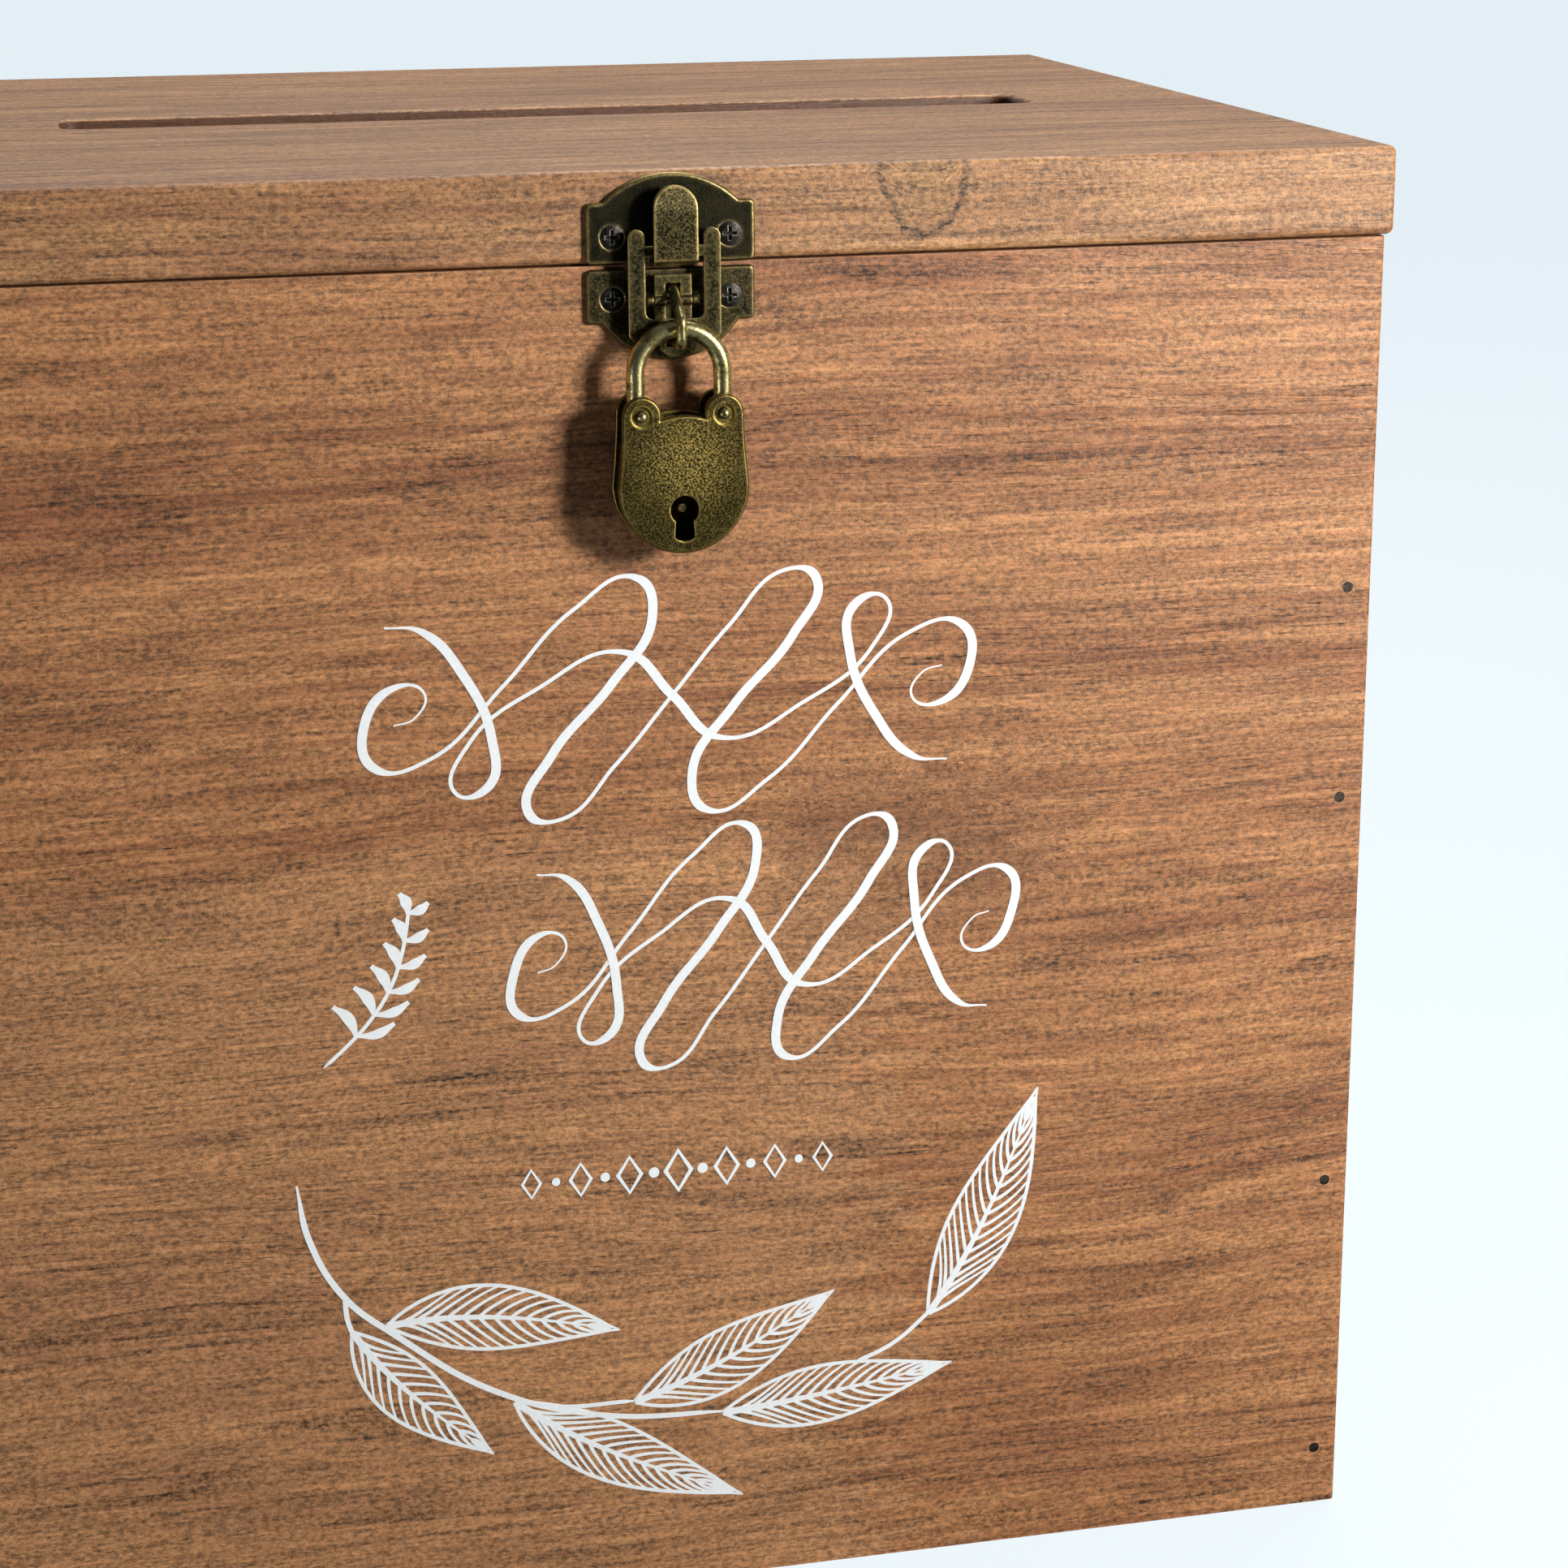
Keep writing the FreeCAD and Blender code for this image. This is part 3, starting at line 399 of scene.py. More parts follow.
# %% Wood group: colour and relief
tone = plus(tree, ease(tree, bands, 0.30, 0.70, 0.0, 0.30),
            ease(tree, streaks, 0.32, 0.68, 0.0, 0.70))
colour = blend_colours(tree, tone, given["Dark Stain"], given["Light Stain"])
colour = blend_colours(tree, ease(tree, patches, 0.50, 0.66, 0.0, 0.45), colour, given["Red Stain"])
colour = blend_colours(tree, in_knot, colour, given["Knot Stain"])
colour = blend_colours(tree, sap, colour, given["Sap Stain"])
darker = times(tree, late, 0.34)
darker = plus(tree, darker, times(tree, pores, 0.34))
darker = plus(tree, darker, times(tree, knot_rim, 0.5))
darker = plus(tree, darker, ease(tree, hairs, 0.30, 0.70, 0.26, -0.18))
darker = plus(tree, darker, ease(tree, grit, 0.30, 0.70, 0.46, -0.48))
light_left = minus(tree, 1.0, darker)
grey = first(tree, "ShaderNodeCombineColor",
             {"Red": light_left, "Green": light_left, "Blue": light_left})
tree.links.new(blend_colours(tree, 1.0, colour, grey, "MULTIPLY"), result["Color"])
height = plus(tree, times(tree, pores, -0.6), times(tree, hairs, 0.5))
tree.links.new(plus(tree, height, times(tree, grit, 0.8)), result["Height"])
tree.links.new(ease(tree, streaks, 0.3, 0.7, 0.58, 0.46), result["Roughness"])
print("wood group nodes:", len(tree.nodes))

# %% [markdown]
# ## Rubbed edges and painted edge highlights
# Hands and cloths polish the edges of old metal and pale the edges of stained wood first. A Bevel
# node gives the normal that a rounded edge would have; where it turns away from the real face's
# normal there is an edge near. The group puts out that mask, broken up by noise, and the rounded
# normal itself, which lets a sharp edge catch the light. On metal the mask also carries painted
# highlights: bright brass where a rounded edge would catch the lamp.

# %% Edge wear and painted highlight group
PATCH_PER_M = 1600.0

edge_wear_and_highlight_group, given, result = effect_group(
    "edge_wear_and_highlight",
    [("Place", "Vector", (0, 0, 0)), ("Radius", "Float", 0.3 * MM), ("Raggedness", "Float", 0.5)],
    [("Mask", "Float"), ("Normal", "Vector")])
tree = edge_wear_and_highlight_group
rounded = first(tree, "ShaderNodeBevel", {"Radius": given["Radius"]}, samples=6)
real = tree.nodes.new("ShaderNodeNewGeometry").outputs["Normal"]
same = add(tree, "ShaderNodeVectorMath", {0: rounded, 1: real},
           operation="DOT_PRODUCT").outputs["Value"]
edge = ease(tree, same, 0.997, 0.90)
patchy = ease(tree, noise(tree, given["Place"], PATCH_PER_M, 4, 0.65), 0.62, 0.38)
kept = minus(tree, 1.0, times(tree, given["Raggedness"], patchy))
tree.links.new(times(tree, edge, kept, clamp=True), result["Mask"])
tree.links.new(rounded, result["Normal"])
print("edge wear group nodes:", len(tree.nodes))

# %% [markdown]
# ## Fine pits
# Cheap cast and stamped brass is never smooth: tiny pits catch the patina. Two noises, one fine
# and one coarse, give masks of specks and clouds and a height for the bump.

# %% Pit group
pit_group, given, result = effect_group(
    "fine_pits",
    [("Place", "Vector", (0, 0, 0)), ("Pit Size", "Float", 0.2)],
    [("Specks", "Float"), ("Clouds", "Float"), ("Height", "Float")])
tree = pit_group
in_mm = in_millimetres(tree, given["Place"])
fine = noise(tree, in_mm, over(tree, 0.6, given["Pit Size"]), 3, 0.65)
coarse = noise(tree, in_mm, 0.45, 3, 0.6)
tree.links.new(ease(tree, fine, 0.42, 0.64), result["Specks"])
tree.links.new(ease(tree, coarse, 0.35, 0.68), result["Clouds"])
tree.links.new(plus(tree, fine, times(tree, coarse, 0.5)), result["Height"])
print("pit group nodes:", len(tree.nodes))

# %% [markdown]
# ## Wood finishes
# Each wood finish is the same pattern with its own stain, its own start and its own direction:
# a Mapping node turns the pattern so that the grain runs along the board.

# %% How a wood finish is made
RUBBED_WOOD = (0.62, 0.40, 0.24, 1)


def new_finish(name):
    """A material with a Principled shader, and its tree, shader inputs and object coordinates."""
    finish = bpy.data.materials.new(name)
    finish.use_nodes = True
    nt = finish.node_tree
    place = nt.nodes.new("ShaderNodeTexCoord").outputs["Object"]
    return finish, nt, nt.nodes["Principled BSDF"].inputs, place


def wood_finish(name, turn, start, stains, **knot_and_sap):
    """Stained softwood whose grain runs along X turned by turn degrees about Z."""
    finish, nt, shader, place = new_finish(name)
    turned = first(nt, "ShaderNodeMapping",
                   {"Vector": place, "Rotation": (0, 0, math.radians(turn))})
    dark, light, red = stains
    wood = place_group(nt, wood_group, {
        "Place": turned, "Board Start": start,
        "Dark Stain": dark, "Light Stain": light, "Red Stain": red,
        **{label.replace("_", " "): value for label, value in knot_and_sap.items()}})
    near_edge = place_group(nt, edge_wear_and_highlight_group, {"Place": place, "Radius": 0.6 * MM, "Raggedness": 0.8})
    rubbed = times(nt, near_edge["Mask"], 0.35)
    nt.links.new(blend_colours(nt, rubbed, wood["Color"], RUBBED_WOOD), shader["Base Color"])
    nt.links.new(wood["Roughness"], shader["Roughness"])
    relief = first(nt, "ShaderNodeBump",
                   {"Height": wood["Height"], "Distance": 0.16 * MM, "Strength": 0.9})
    nt.links.new(relief, shader["Normal"])
    return finish


print("wood finishes can be made")

# %% [markdown]
# The front has a darker swirl round a knot and paler sapwood below and to the left of it. The
# lid, which gets the most light, is stained a little paler, and the rim of a cut-through knot
# shows on its front edge.

# %% Wood finishes
BODY_STAINS = ((0.220, 0.083, 0.031, 1), (0.470, 0.228, 0.096, 1), (0.225, 0.080, 0.036, 1))
LID_STAINS = ((0.235, 0.103, 0.042, 1), (0.450, 0.242, 0.108, 1), (0.250, 0.107, 0.050, 1))
front_low, front_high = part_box("front_panel")
lid_low, lid_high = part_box("lid_board")

finishes = {
    "front_wood": wood_finish(
        "front_wood", 0, (310, 40, 12), BODY_STAINS,
        Knot_Place=(42.0, front_low.y / MM, 134.0), Knot_Shape=(0.60, 0.2, 1.0),
        Knot_Reach=17.0, Knot_Rag=7.0, Knot_Depth=0.6, Knot_Stain=(0.190, 0.083, 0.035, 1),
        Sap_Corner=(37.0, 0.0, 137.0), Sap_Share=0.42, Sap_Stain=(0.430, 0.235, 0.112, 1)),
    "lid_wood": wood_finish(
        "lid_wood", 0, (90, -60, 510), LID_STAINS,
        Knot_Place=(43.0, lid_low.y / MM, lid_high.z / MM + 1.0), Knot_Shape=(1.75, 6.0, 1.0),
        Knot_Reach=13.0, Knot_Rag=0.9, Knot_Depth=0.5, Knot_Rim=0.85,
        Knot_Stain=(0.46, 0.27, 0.115, 1)),
    "side_wood": wood_finish("side_wood", 90, (-140, 75, 260), BODY_STAINS),
    "back_wood": wood_finish("back_wood", 0, (-520, 310, 85), BODY_STAINS)}
print("wood finishes:", sorted(finishes))

# %% [markdown]
# The card slot's walls lie in the shade of its rim, so they are painted dark: painted shade,
# standing in for the shadow inside the slot. The walls are the upright faces inside the slot's
# outline, so two tests find them.

# %% Painted shade on the walls of the card slot
SLOT_HALF_LENGTH = 92.5 * MM
SLOT_HALF_WIDTH = 10.0 * MM
SLOT_PAINTED_SHADE = (0.085, 0.030, 0.014, 1)

nt = finishes["lid_wood"].node_tree
lid_colour = nt.nodes["Principled BSDF"].inputs["Base Color"]
where = axes_of(nt, nt.nodes.new("ShaderNodeTexCoord").outputs["Object"])
facing = axes_of(nt, nt.nodes.new("ShaderNodeNewGeometry").outputs["True Normal"])
on_wall = 1.0
for value, limit in ((where["X"], SLOT_HALF_LENGTH), (where["Y"], SLOT_HALF_WIDTH),
                     (facing["Z"], 0.5)):
    near = step(nt, "LESS_THAN", step(nt, "ABSOLUTE", value), limit)
    on_wall = times(nt, near, on_wall)
varnished = lid_colour.links[0].from_socket
# Painted shade: the slot walls take a dark colour in place of the shadow inside the slot.
nt.links.new(blend_colours(nt, times(nt, on_wall, 0.85), varnished, SLOT_PAINTED_SHADE), lid_colour)
print("slot walls stained")

# %% [markdown]
# ## Antique metals
# Antique bronze is brass darkened in a bath and then rubbed, so the flats stay olive black, the
# flanks beside an edge turn a dull brown, and the edge itself shines. That brown and that shine are
# partly rubbed brass and partly painted highlight. One function makes all of them: a dark patina, a
# bright metal, and a mask that says which shows. The mask adds specks and clouds from the pits, a
# wide soft share on the flanks and a narrow full one on the edges.

# %% How a metal finish is made
EDGE_RAG = 0.35
FLANK_RAG = 0.55


def metal_finish(name, patina, bright, rough, edge, flank, pit_size=0.25, speck=0.3, cloud=0.2,
                 pit_depth=0.05, polish_and_highlight=None):
    """Darkened metal: patina where nothing rubs it, bright metal where something does and where a
    highlight is painted.

    rough is the roughness of the patina and of the bright metal. edge and flank are each a reach in
    mm from the edge and how much the metal shows there, as rubbed wear and painted highlight.
    pit_size and pit_depth are in mm. polish_and_highlight is a function of the tree and the place
    that says where more of the metal shows, as polish and painted highlight.
    """
    finish, nt, shader, place = new_finish(name)
    near_edge = place_group(nt, edge_wear_and_highlight_group, {"Place": place, "Radius": edge[0] * MM,
                                        "Raggedness": EDGE_RAG})
    flank_wear_and_highlight = place_group(nt, edge_wear_and_highlight_group, {"Place": place, "Radius": flank[0] * MM,
                                        "Raggedness": FLANK_RAG})
    pit = place_group(nt, pit_group, {"Place": place, "Pit Size": pit_size})
    speckled = plus(nt, polish_and_highlight(nt, place), speck) if polish_and_highlight else speck
    shown = plus(nt, times(nt, pit["Specks"], speckled), times(nt, pit["Clouds"], cloud))
    # The flank and edge shares are rubbed brass and painted highlight together.
    shown = plus(nt, shown, times(nt, flank_wear_and_highlight["Mask"], flank[1]))
    shown = step(nt, "MAXIMUM", shown, times(nt, near_edge["Mask"], edge[1]), clamp=True)
    nt.links.new(blend_colours(nt, shown, patina, bright), shader["Base Color"])
    nt.links.new(ease(nt, shown, 0.0, 1.0, rough[0], rough[1]), shader["Roughness"])
    shader["Metallic"].default_value = 1.0
    relief = first(nt, "ShaderNodeBump", {"Height": pit["Height"], "Distance": pit_depth * MM,
                                          "Strength": 0.6, "Normal": near_edge["Normal"]})
    nt.links.new(relief, shader["Normal"])
    return finish


print("metal finishes can be made")

# %% [markdown]
# Two pieces are rubbed in places of their own, and a highlight is painted there too. Fingers polish
# the hook, which stands further out than the plate it is bent from, and the middle of the lock's
# front; the extra brass on both is partly that polish and partly painted highlight.

# %% Where fingers polish the metal and highlights are painted
HOOK_DEPTH = 1.9 * MM
POLISH_AND_HIGHLIGHT_REACH = 11.0 * MM
POLISH_AND_HIGHLIGHT_CORE = 0.5 * MM
catch_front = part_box("catch_plate")[0].y
polish_and_highlight_place = lock_middle + Vector((0.6, 0, 2.2)) * MM


def hook_polish_and_highlight(nt, place):
    """More metal on the hook, none on the plate behind it: polish and painted highlight."""
    out = axes_of(nt, place)["Y"]
    return ease(nt, out, catch_front + HOOK_DEPTH, catch_front + HOOK_DEPTH * 0.8, 0.0, 0.20)


def middle_polish_and_highlight(nt, place):
    """More metal in the middle of the lock's front, less towards its rim: polish and painted
    highlight.
    """
    gap = length_of(nt, vector_step(nt, "SUBTRACT", place, polish_and_highlight_place))
    return ease(nt, gap, POLISH_AND_HIGHLIGHT_REACH, POLISH_AND_HIGHLIGHT_CORE, 0.0, 0.62)


print("hook stands out", HOOK_DEPTH / MM, "mm")

# %% [markdown]
# The metals differ only in these numbers. The latch and hinges are antique bronze, the catch a
# blacker one, the lock an old brass and its bow a shinier one. Screws and pins are duller.

# %% Metal finishes
PATINA = (0.012, 0.014, 0.010, 1)
BRASS = (0.80, 0.62, 0.24, 1)

finishes["antique_bronze"] = metal_finish(
    "antique_bronze", PATINA, BRASS, (0.40, 0.32), edge=(0.40, 1.0), flank=(1.5, 0.20),
    speck=0.12, cloud=0.04, pit_depth=0.08)
finishes["catch_bronze"] = metal_finish(
    "catch_bronze", (0.008, 0.011, 0.009, 1), BRASS, (0.33, 0.45), edge=(0.42, 1.0),
    flank=(1.1, 0.60), pit_size=0.15, speck=0.05, cloud=0.02, pit_depth=0.07, polish_and_highlight=hook_polish_and_highlight)
finishes["lock_brass"] = metal_finish(
    "lock_brass", (0.018, 0.016, 0.006, 1), (0.72, 0.54, 0.155, 1), (0.42, 0.34),
    edge=(0.36, 1.0), flank=(1.0, 0.15), pit_size=0.21, speck=0.15, cloud=0.04, pit_depth=0.13,
    polish_and_highlight=middle_polish_and_highlight)
finishes["bow_brass"] = metal_finish(
    "bow_brass", (0.15, 0.130, 0.045, 1), (0.98, 0.88, 0.44, 1), (0.38, 0.22),
    edge=(0.2, 0.4), flank=(0.5, 0.2), pit_size=0.30, speck=0.35, cloud=0.60)
finishes["screw_bronze"] = metal_finish(
    "screw_bronze", (0.011, 0.010, 0.009, 1), (0.46, 0.43, 0.38, 1), (0.46, 0.36),
    edge=(0.20, 1.0), flank=(0.4, 0.1), pit_size=0.2, speck=0.08, cloud=0.05)
finishes["brad_steel"] = metal_finish(
    "brad_steel", (0.03, 0.022, 0.018, 1), (0.25, 0.2, 0.17, 1), (0.5, 0.4),
    edge=(0.1, 0.3), flank=(0.2, 0.1))
print("metal finishes:", sorted(n for n in finishes if "wood" not in n))

# %% [markdown]
# ## Dressing the CAD nodes
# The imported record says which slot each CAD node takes. Some get a finish of their own. The back
# board's grain runs the other way from the sides. The padlock's bow, its staple and their two
# rivets rub on each other and shine, and the catch plate is blacker than the rest of the latch.

# %% Dress the CAD nodes
slot_of = {part["node"]: part["material_slot"] for part in frame["record"]["subparts"]}
OWN_FINISH = {"back_panel": "back_wood", "bottom_board": "back_wood", "shackle": "bow_brass",
              "lock_staple": "bow_brass", "shackle_rivet": "bow_brass",
              "keeper_rivet": "bow_brass", "catch_plate": "catch_bronze"}
for name, node in nodes.items():
    wanted = OWN_FINISH.get(name, slot_of[name])
    if wanted in finishes:
        node.data.materials.clear()
        node.data.materials.append(finishes[wanted])
print("dressed:", len(nodes))

# %% [markdown]
# ## White vinyl decoration
# The front carries a decoration cut from matt white film, a little over a tenth of a millimetre
# thick: two lines of pen flourishes, a small row of lozenges and beads, and a leafy sprig below.
# The film's finish is a cool white with a trace of dust and hardly any relief.

# %% Film finish
FILM_T = 0.13 * MM
DUSTY_WHITE = (0.80, 0.87, 0.93, 1)
CLEAN_WHITE = (0.88, 0.92, 0.95, 1)

vinyl, nt, shader, place = new_finish("white_vinyl")
dust = noise(nt, in_millimetres(nt, place), 1.4, 3, 0.6)
whiteness = ease(nt, dust, 0.35, 0.7)
nt.links.new(blend_colours(nt, whiteness, DUSTY_WHITE, CLEAN_WHITE), shader["Base Color"])
nt.links.new(ease(nt, dust, 0.3, 0.7, 0.42, 0.55), shader["Roughness"])
relief = first(nt, "ShaderNodeBump", {"Height": dust, "Distance": 0.02 * MM, "Strength": 0.3})
nt.links.new(relief, shader["Normal"])
print("film is", FILM_T / MM, "mm thick")

# %% [markdown]
# Film is flat and sharp-edged, so every line is a thin ribbon swept along a curve. Each Geometry
# Nodes tree below begins with named inputs and ends by making its instances real and giving them
# the film's material, so these steps are written once.

# %% Steps that the film's trees share
def film_inputs(tree, sizes):
    """Named inputs of a geometry tree: lengths, a count where it is whole, and the material."""
    for label, value in sizes.items():
        kind = "NodeSocketInt" if isinstance(value, int) else "NodeSocketFloat"
        tree.interface.new_socket(label, in_out="INPUT", socket_type=kind).default_value = value
    tree.interface.new_socket("Film", in_out="INPUT", socket_type="NodeSocketMaterial")
    tree.interface.new_socket("Geometry", in_out="OUTPUT", socket_type="NodeSocketGeometry")
    return tree.nodes.new("NodeGroupInput").outputs, tree.nodes.new("NodeGroupOutput").inputs


def with_radius(tree, curve, radius):
    """The curve with its radius set."""
    return first(tree, "GeometryNodeSetCurveRadius", {"Curve": curve, "Radius": radius})


def flat_ribbon(tree, curves, widest):
    """A ribbon as wide as each point's radius, lying on z = 0 and thinner where it is narrow."""
    radius = tree.nodes.new("GeometryNodeInputRadius").outputs[0]
    lift = times(tree, radius, over(tree, FILM_T / 2, widest))
    lifted = first(tree, "GeometryNodeSetPosition",
                   {"Geometry": curves, "Offset": vector_of(tree, Z=lift)})
    flat = first(tree, "GeometryNodeSetCurveNormal", {"Curve": lifted}, mode="Z_UP")
    section = first(tree, "GeometryNodeCurvePrimitiveQuadrilateral",
                    {"Width": 1.0, "Height": over(tree, FILM_T, widest)})
    return first(tree, "GeometryNodeCurveToMesh", {"Curve": flat, "Profile Curve": section,
                                                   "Scale": radius, "Fill Caps": True})


def joined(tree, parts):
    """Several geometries as one."""
    both = tree.nodes.new("GeometryNodeJoinGeometry")
    for part in parts:
        tree.links.new(part, both.inputs[0])
    return both.outputs[0]


def end_tree(tree, geometry, film, result):
    """Makes instances real and gives the film its material, as the last steps of a tree."""
    real = first(tree, "GeometryNodeRealizeInstances", {0: geometry})
    done = first(tree, "GeometryNodeSetMaterial", {"Geometry": real, "Material": film})
    tree.links.new(done, result["Geometry"])


print("shared steps ready")

# %% [markdown]
# A tree works on a source object. Its result is taken off as a mesh and laid onto the front, and
# all the meshes of one decoration become one piece, which rides on the box and stands for the
# plain film in the CAD. Its faces are flat shaded: smooth ones would look like raised piping.

# %% From trees to pieces of film
onto_front = Matrix.Translation((0, front_low.y, 0)) @ Matrix.Rotation(math.radians(90), 4, "X")


def cut_film(name, source, tree, values, place):
    """The mesh that a tree makes of a source object, moved to its place on the front."""
    maker = source.modifiers.new(name, "NODES")
    maker.node_group = tree
    for item in tree.interface.items_tree:
        if item.in_out == "INPUT" and item.name in values:
            maker[item.identifier] = values[item.name]
    bpy.context.scene.collection.objects.link(source)
    bpy.context.view_layer.update()
    evaluated = source.evaluated_get(bpy.context.evaluated_depsgraph_get())
    mesh = bpy.data.meshes.new_from_object(evaluated)
    bpy.data.objects.remove(source)
    mesh.transform(place)
    return mesh


def join_film(name, meshes, stands_for):
    """Makes one piece of film from several meshes, riding on the box."""
    whole = bmesh.new()
    for mesh in meshes:
        whole.from_mesh(mesh)
        bpy.data.meshes.remove(mesh)
    bmesh.ops.recalc_face_normals(whole, faces=whole.faces)
    for face in whole.faces:
        face.smooth = False
    cut = bpy.data.meshes.new(name)
    whole.to_mesh(cut)
    whole.free()
    cut.materials.append(vinyl)
    piece = bpy.data.objects.new(name, cut)
    bpy.context.scene.collection.objects.link(piece)
    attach(piece, "box")
    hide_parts(stands_for)
    print(name, "faces:", len(cut.polygons))


print("film can be cut and joined")

# %% [markdown]
# ## Pen strokes
# A pen nib makes strokes that swell where it moves down and thin where it moves up. One tree
# does that for any curve: it reads the curve's direction and sets the ribbon's width from it,
# and near both ends it narrows the stroke.

# %% Pen stroke tree
STROKE_END = 0.4

pen_tree = bpy.data.node_groups.new("pen_stroke", "GeometryNodeTree")
tree = pen_tree
tree.interface.new_socket("Geometry", in_out="INPUT", socket_type="NodeSocketGeometry")
given, result = film_inputs(tree, {"Thick": 1.6 * MM, "Thin": 0.65 * MM, "Taper": 0.05,
                                   "Step": 0.4 * MM})
even = first(tree, "GeometryNodeResampleCurve",
             {"Curve": given["Geometry"], "Length": given["Step"]}, mode="LENGTH")
heading = axes_of(tree, tree.nodes.new("GeometryNodeInputTangent").outputs[0])
downwards = ease(tree, heading["Y"], 0.15, -0.85)
along = tree.nodes.new("GeometryNodeSplineParameter").outputs["Factor"]
to_end = step(tree, "MINIMUM", along, minus(tree, 1.0, along))
sharp = ease(tree, over(tree, to_end, given["Taper"]), 0.0, 1.0, STROKE_END, 1.0)
swell = times(tree, minus(tree, given["Thick"], given["Thin"]), downwards)
width = times(tree, plus(tree, given["Thin"], swell), sharp)
ribbon = flat_ribbon(tree, with_radius(tree, even, width), given["Thick"])
end_tree(tree, ribbon, given["Film"], result)
print("pen tree nodes:", len(tree.nodes))

# %% [markdown]
# The tree needs curves to follow. A route is a list of points, and a smooth curve runs through
# them all.

# %% Lines drawn with the pen
CURVE_STEPS = 24


def pen_line(name, routes, place, **sizes):
    """The film of a pen that follows each route, a list of points that its line runs through."""
    path = bpy.data.curves.new(name, "CURVE")
    path.dimensions = "3D"
    for route in routes:
        spline = path.splines.new("BEZIER")
        spline.bezier_points.add(len(route) - 1)
        spline.resolution_u = CURVE_STEPS
        for point, (x, height) in zip(spline.bezier_points, route):
            point.co = (x * MM, height * MM, 0)
            point.handle_left_type = point.handle_right_type = "AUTO"
    source = bpy.data.objects.new(name, path)
    return cut_film(name, source, pen_tree, {"Film": vinyl, **sizes}, place)


print("pen lines can be drawn")

# %% [markdown]
# A flourish is drawn as its right half only, in shares of its half width and half height. The
# left half is the same points turned half round its middle, so the stroke runs through without
# a kink. A second, lighter stroke crosses it the other way. The slant leans both like a pen.

# %% Flourishes
MAIN_HALF = [(0, 0), (0.10, 0.52), (0.22, 0.93), (0.33, 0.86), (0.33, 0.42), (0.22, -0.12),
             (0.17, -0.62), (0.27, -0.93), (0.44, -0.72), (0.58, -0.15), (0.73, 0.38),
             (0.90, 0.42), (0.985, 0.10), (0.93, -0.20), (0.83, -0.14), (0.83, 0.05), (0.89, 0.10)]
CROSSING_HALF = [(0, 0), (0.22, -0.36), (0.46, -0.12), (0.62, 0.28), (0.60, 0.66), (0.50, 0.62),
                 (0.55, 0.25), (0.72, -0.25), (0.92, -0.62), (1.04, -0.66)]
SEAM_Z = front_high.z / MM
FLOURISH_LINES = [
    {"middle": (-0.5, SEAM_Z - 72.5), "half_width": 52.0, "half_height": 22.0, "slant": 9.0},
    {"middle": (15.5, SEAM_Z - 117.5), "half_width": 44.0, "half_height": 23.0, "slant": 9.0}]


def turned_whole(half, middle, half_width, half_height, slant):
    """Both halves of a flourish as points on the front, in millimetres."""
    whole = [(-u, -v) for u, v in reversed(half[1:])] + half
    return [(middle[0] + u * half_width + v * slant, middle[1] + v * half_height)
            for u, v in whole]


flourishes = [turned_whole(half, **line)
              for line in FLOURISH_LINES for half in (MAIN_HALF, CROSSING_HALF)]
film_parts = [pen_line("flourish_lines", flourishes, onto_front)]
print("flourish strokes:", len(flourishes))

# %% [markdown]
# Left of the lower line a small twig fills the room: a bent stem with pairs of drops. Each drop
# is a short pen stroke that ends on the stem. They get shorter and more upright towards the tip,
# so a loop places them all.

# %% Small twig
TWIG_FOOT = (-61.5, SEAM_Z - 133.5)
TWIG_TIP = (-46.0, SEAM_Z - 104.5)
TWIG_BOW = 4.0
DROPS = 6
DROP_L = 7.0
FIRST_DROP = 0.22
DROP_BULGE = 0.12


def twig_point(share):
    """A point on the twig's stem, which bows to the right."""
    bow = TWIG_BOW * math.sin(math.pi * share)
    return (TWIG_FOOT[0] + (TWIG_TIP[0] - TWIG_FOOT[0]) * share + bow * 0.9,
            TWIG_FOOT[1] + (TWIG_TIP[1] - TWIG_FOOT[1]) * share - bow * 0.5)


drops = []
for i in range(DROPS):
    share = FIRST_DROP + 0.70 * i / (DROPS - 1)
    x, height = twig_point(share)
    length = DROP_L * (1.1 - 0.6 * share)
    bulge = DROP_BULGE * length
    for lean in (128 - 18 * share, 12 + 14 * share):
        turn = math.radians(lean)
        tip = (x + length * math.cos(turn), height + length * math.sin(turn))
        drops.append([tip, ((x + tip[0]) / 2 + bulge * math.sin(turn),
                            (height + tip[1]) / 2 - bulge * math.cos(turn)), (x, height)])
twig = [twig_point(i / 6) for i in range(7)]
film_parts.append(pen_line("twig_stem", [twig], onto_front, Thick=0.8 * MM))
film_parts.append(pen_line("twig_drops", drops, onto_front,
                           Thick=2.0 * MM, Thin=1.5 * MM, Taper=0.5))
print("twig drops:", len(drops))

# %% [markdown]
# ## Row of lozenges and beads
# A row of lozenges with beads between them stands under the flourishes. The row is one Geometry
# Nodes tree: points on a line, a lozenge on each, a bead between each two, all smaller towards
# the ends. Nothing in it is placed by hand.

# %% Row tree
row_tree = bpy.data.node_groups.new("bead_row", "GeometryNodeTree")
tree = row_tree
given, result = film_inputs(tree, {"Half Length": 26.0 * MM, "Lozenges": 7,
                                   "Lozenge Height": 7.4 * MM, "Bead": 1.0 * MM,
                                   "Line": 0.85 * MM, "End Share": 0.7})
LOZENGE_SHAPE = (0.62, 1.0, 1.0)


def row_points(tree, count, half_length):
    """Points spread evenly along X to both sides of the origin."""
    start = vector_of(tree, X=times(tree, half_length, -1.0))
    return first(tree, "GeometryNodeMeshLine",
                 {"Count": count, "Start Location": start,
                  "Offset": vector_of(tree, X=half_length)}, mode="END_POINTS")


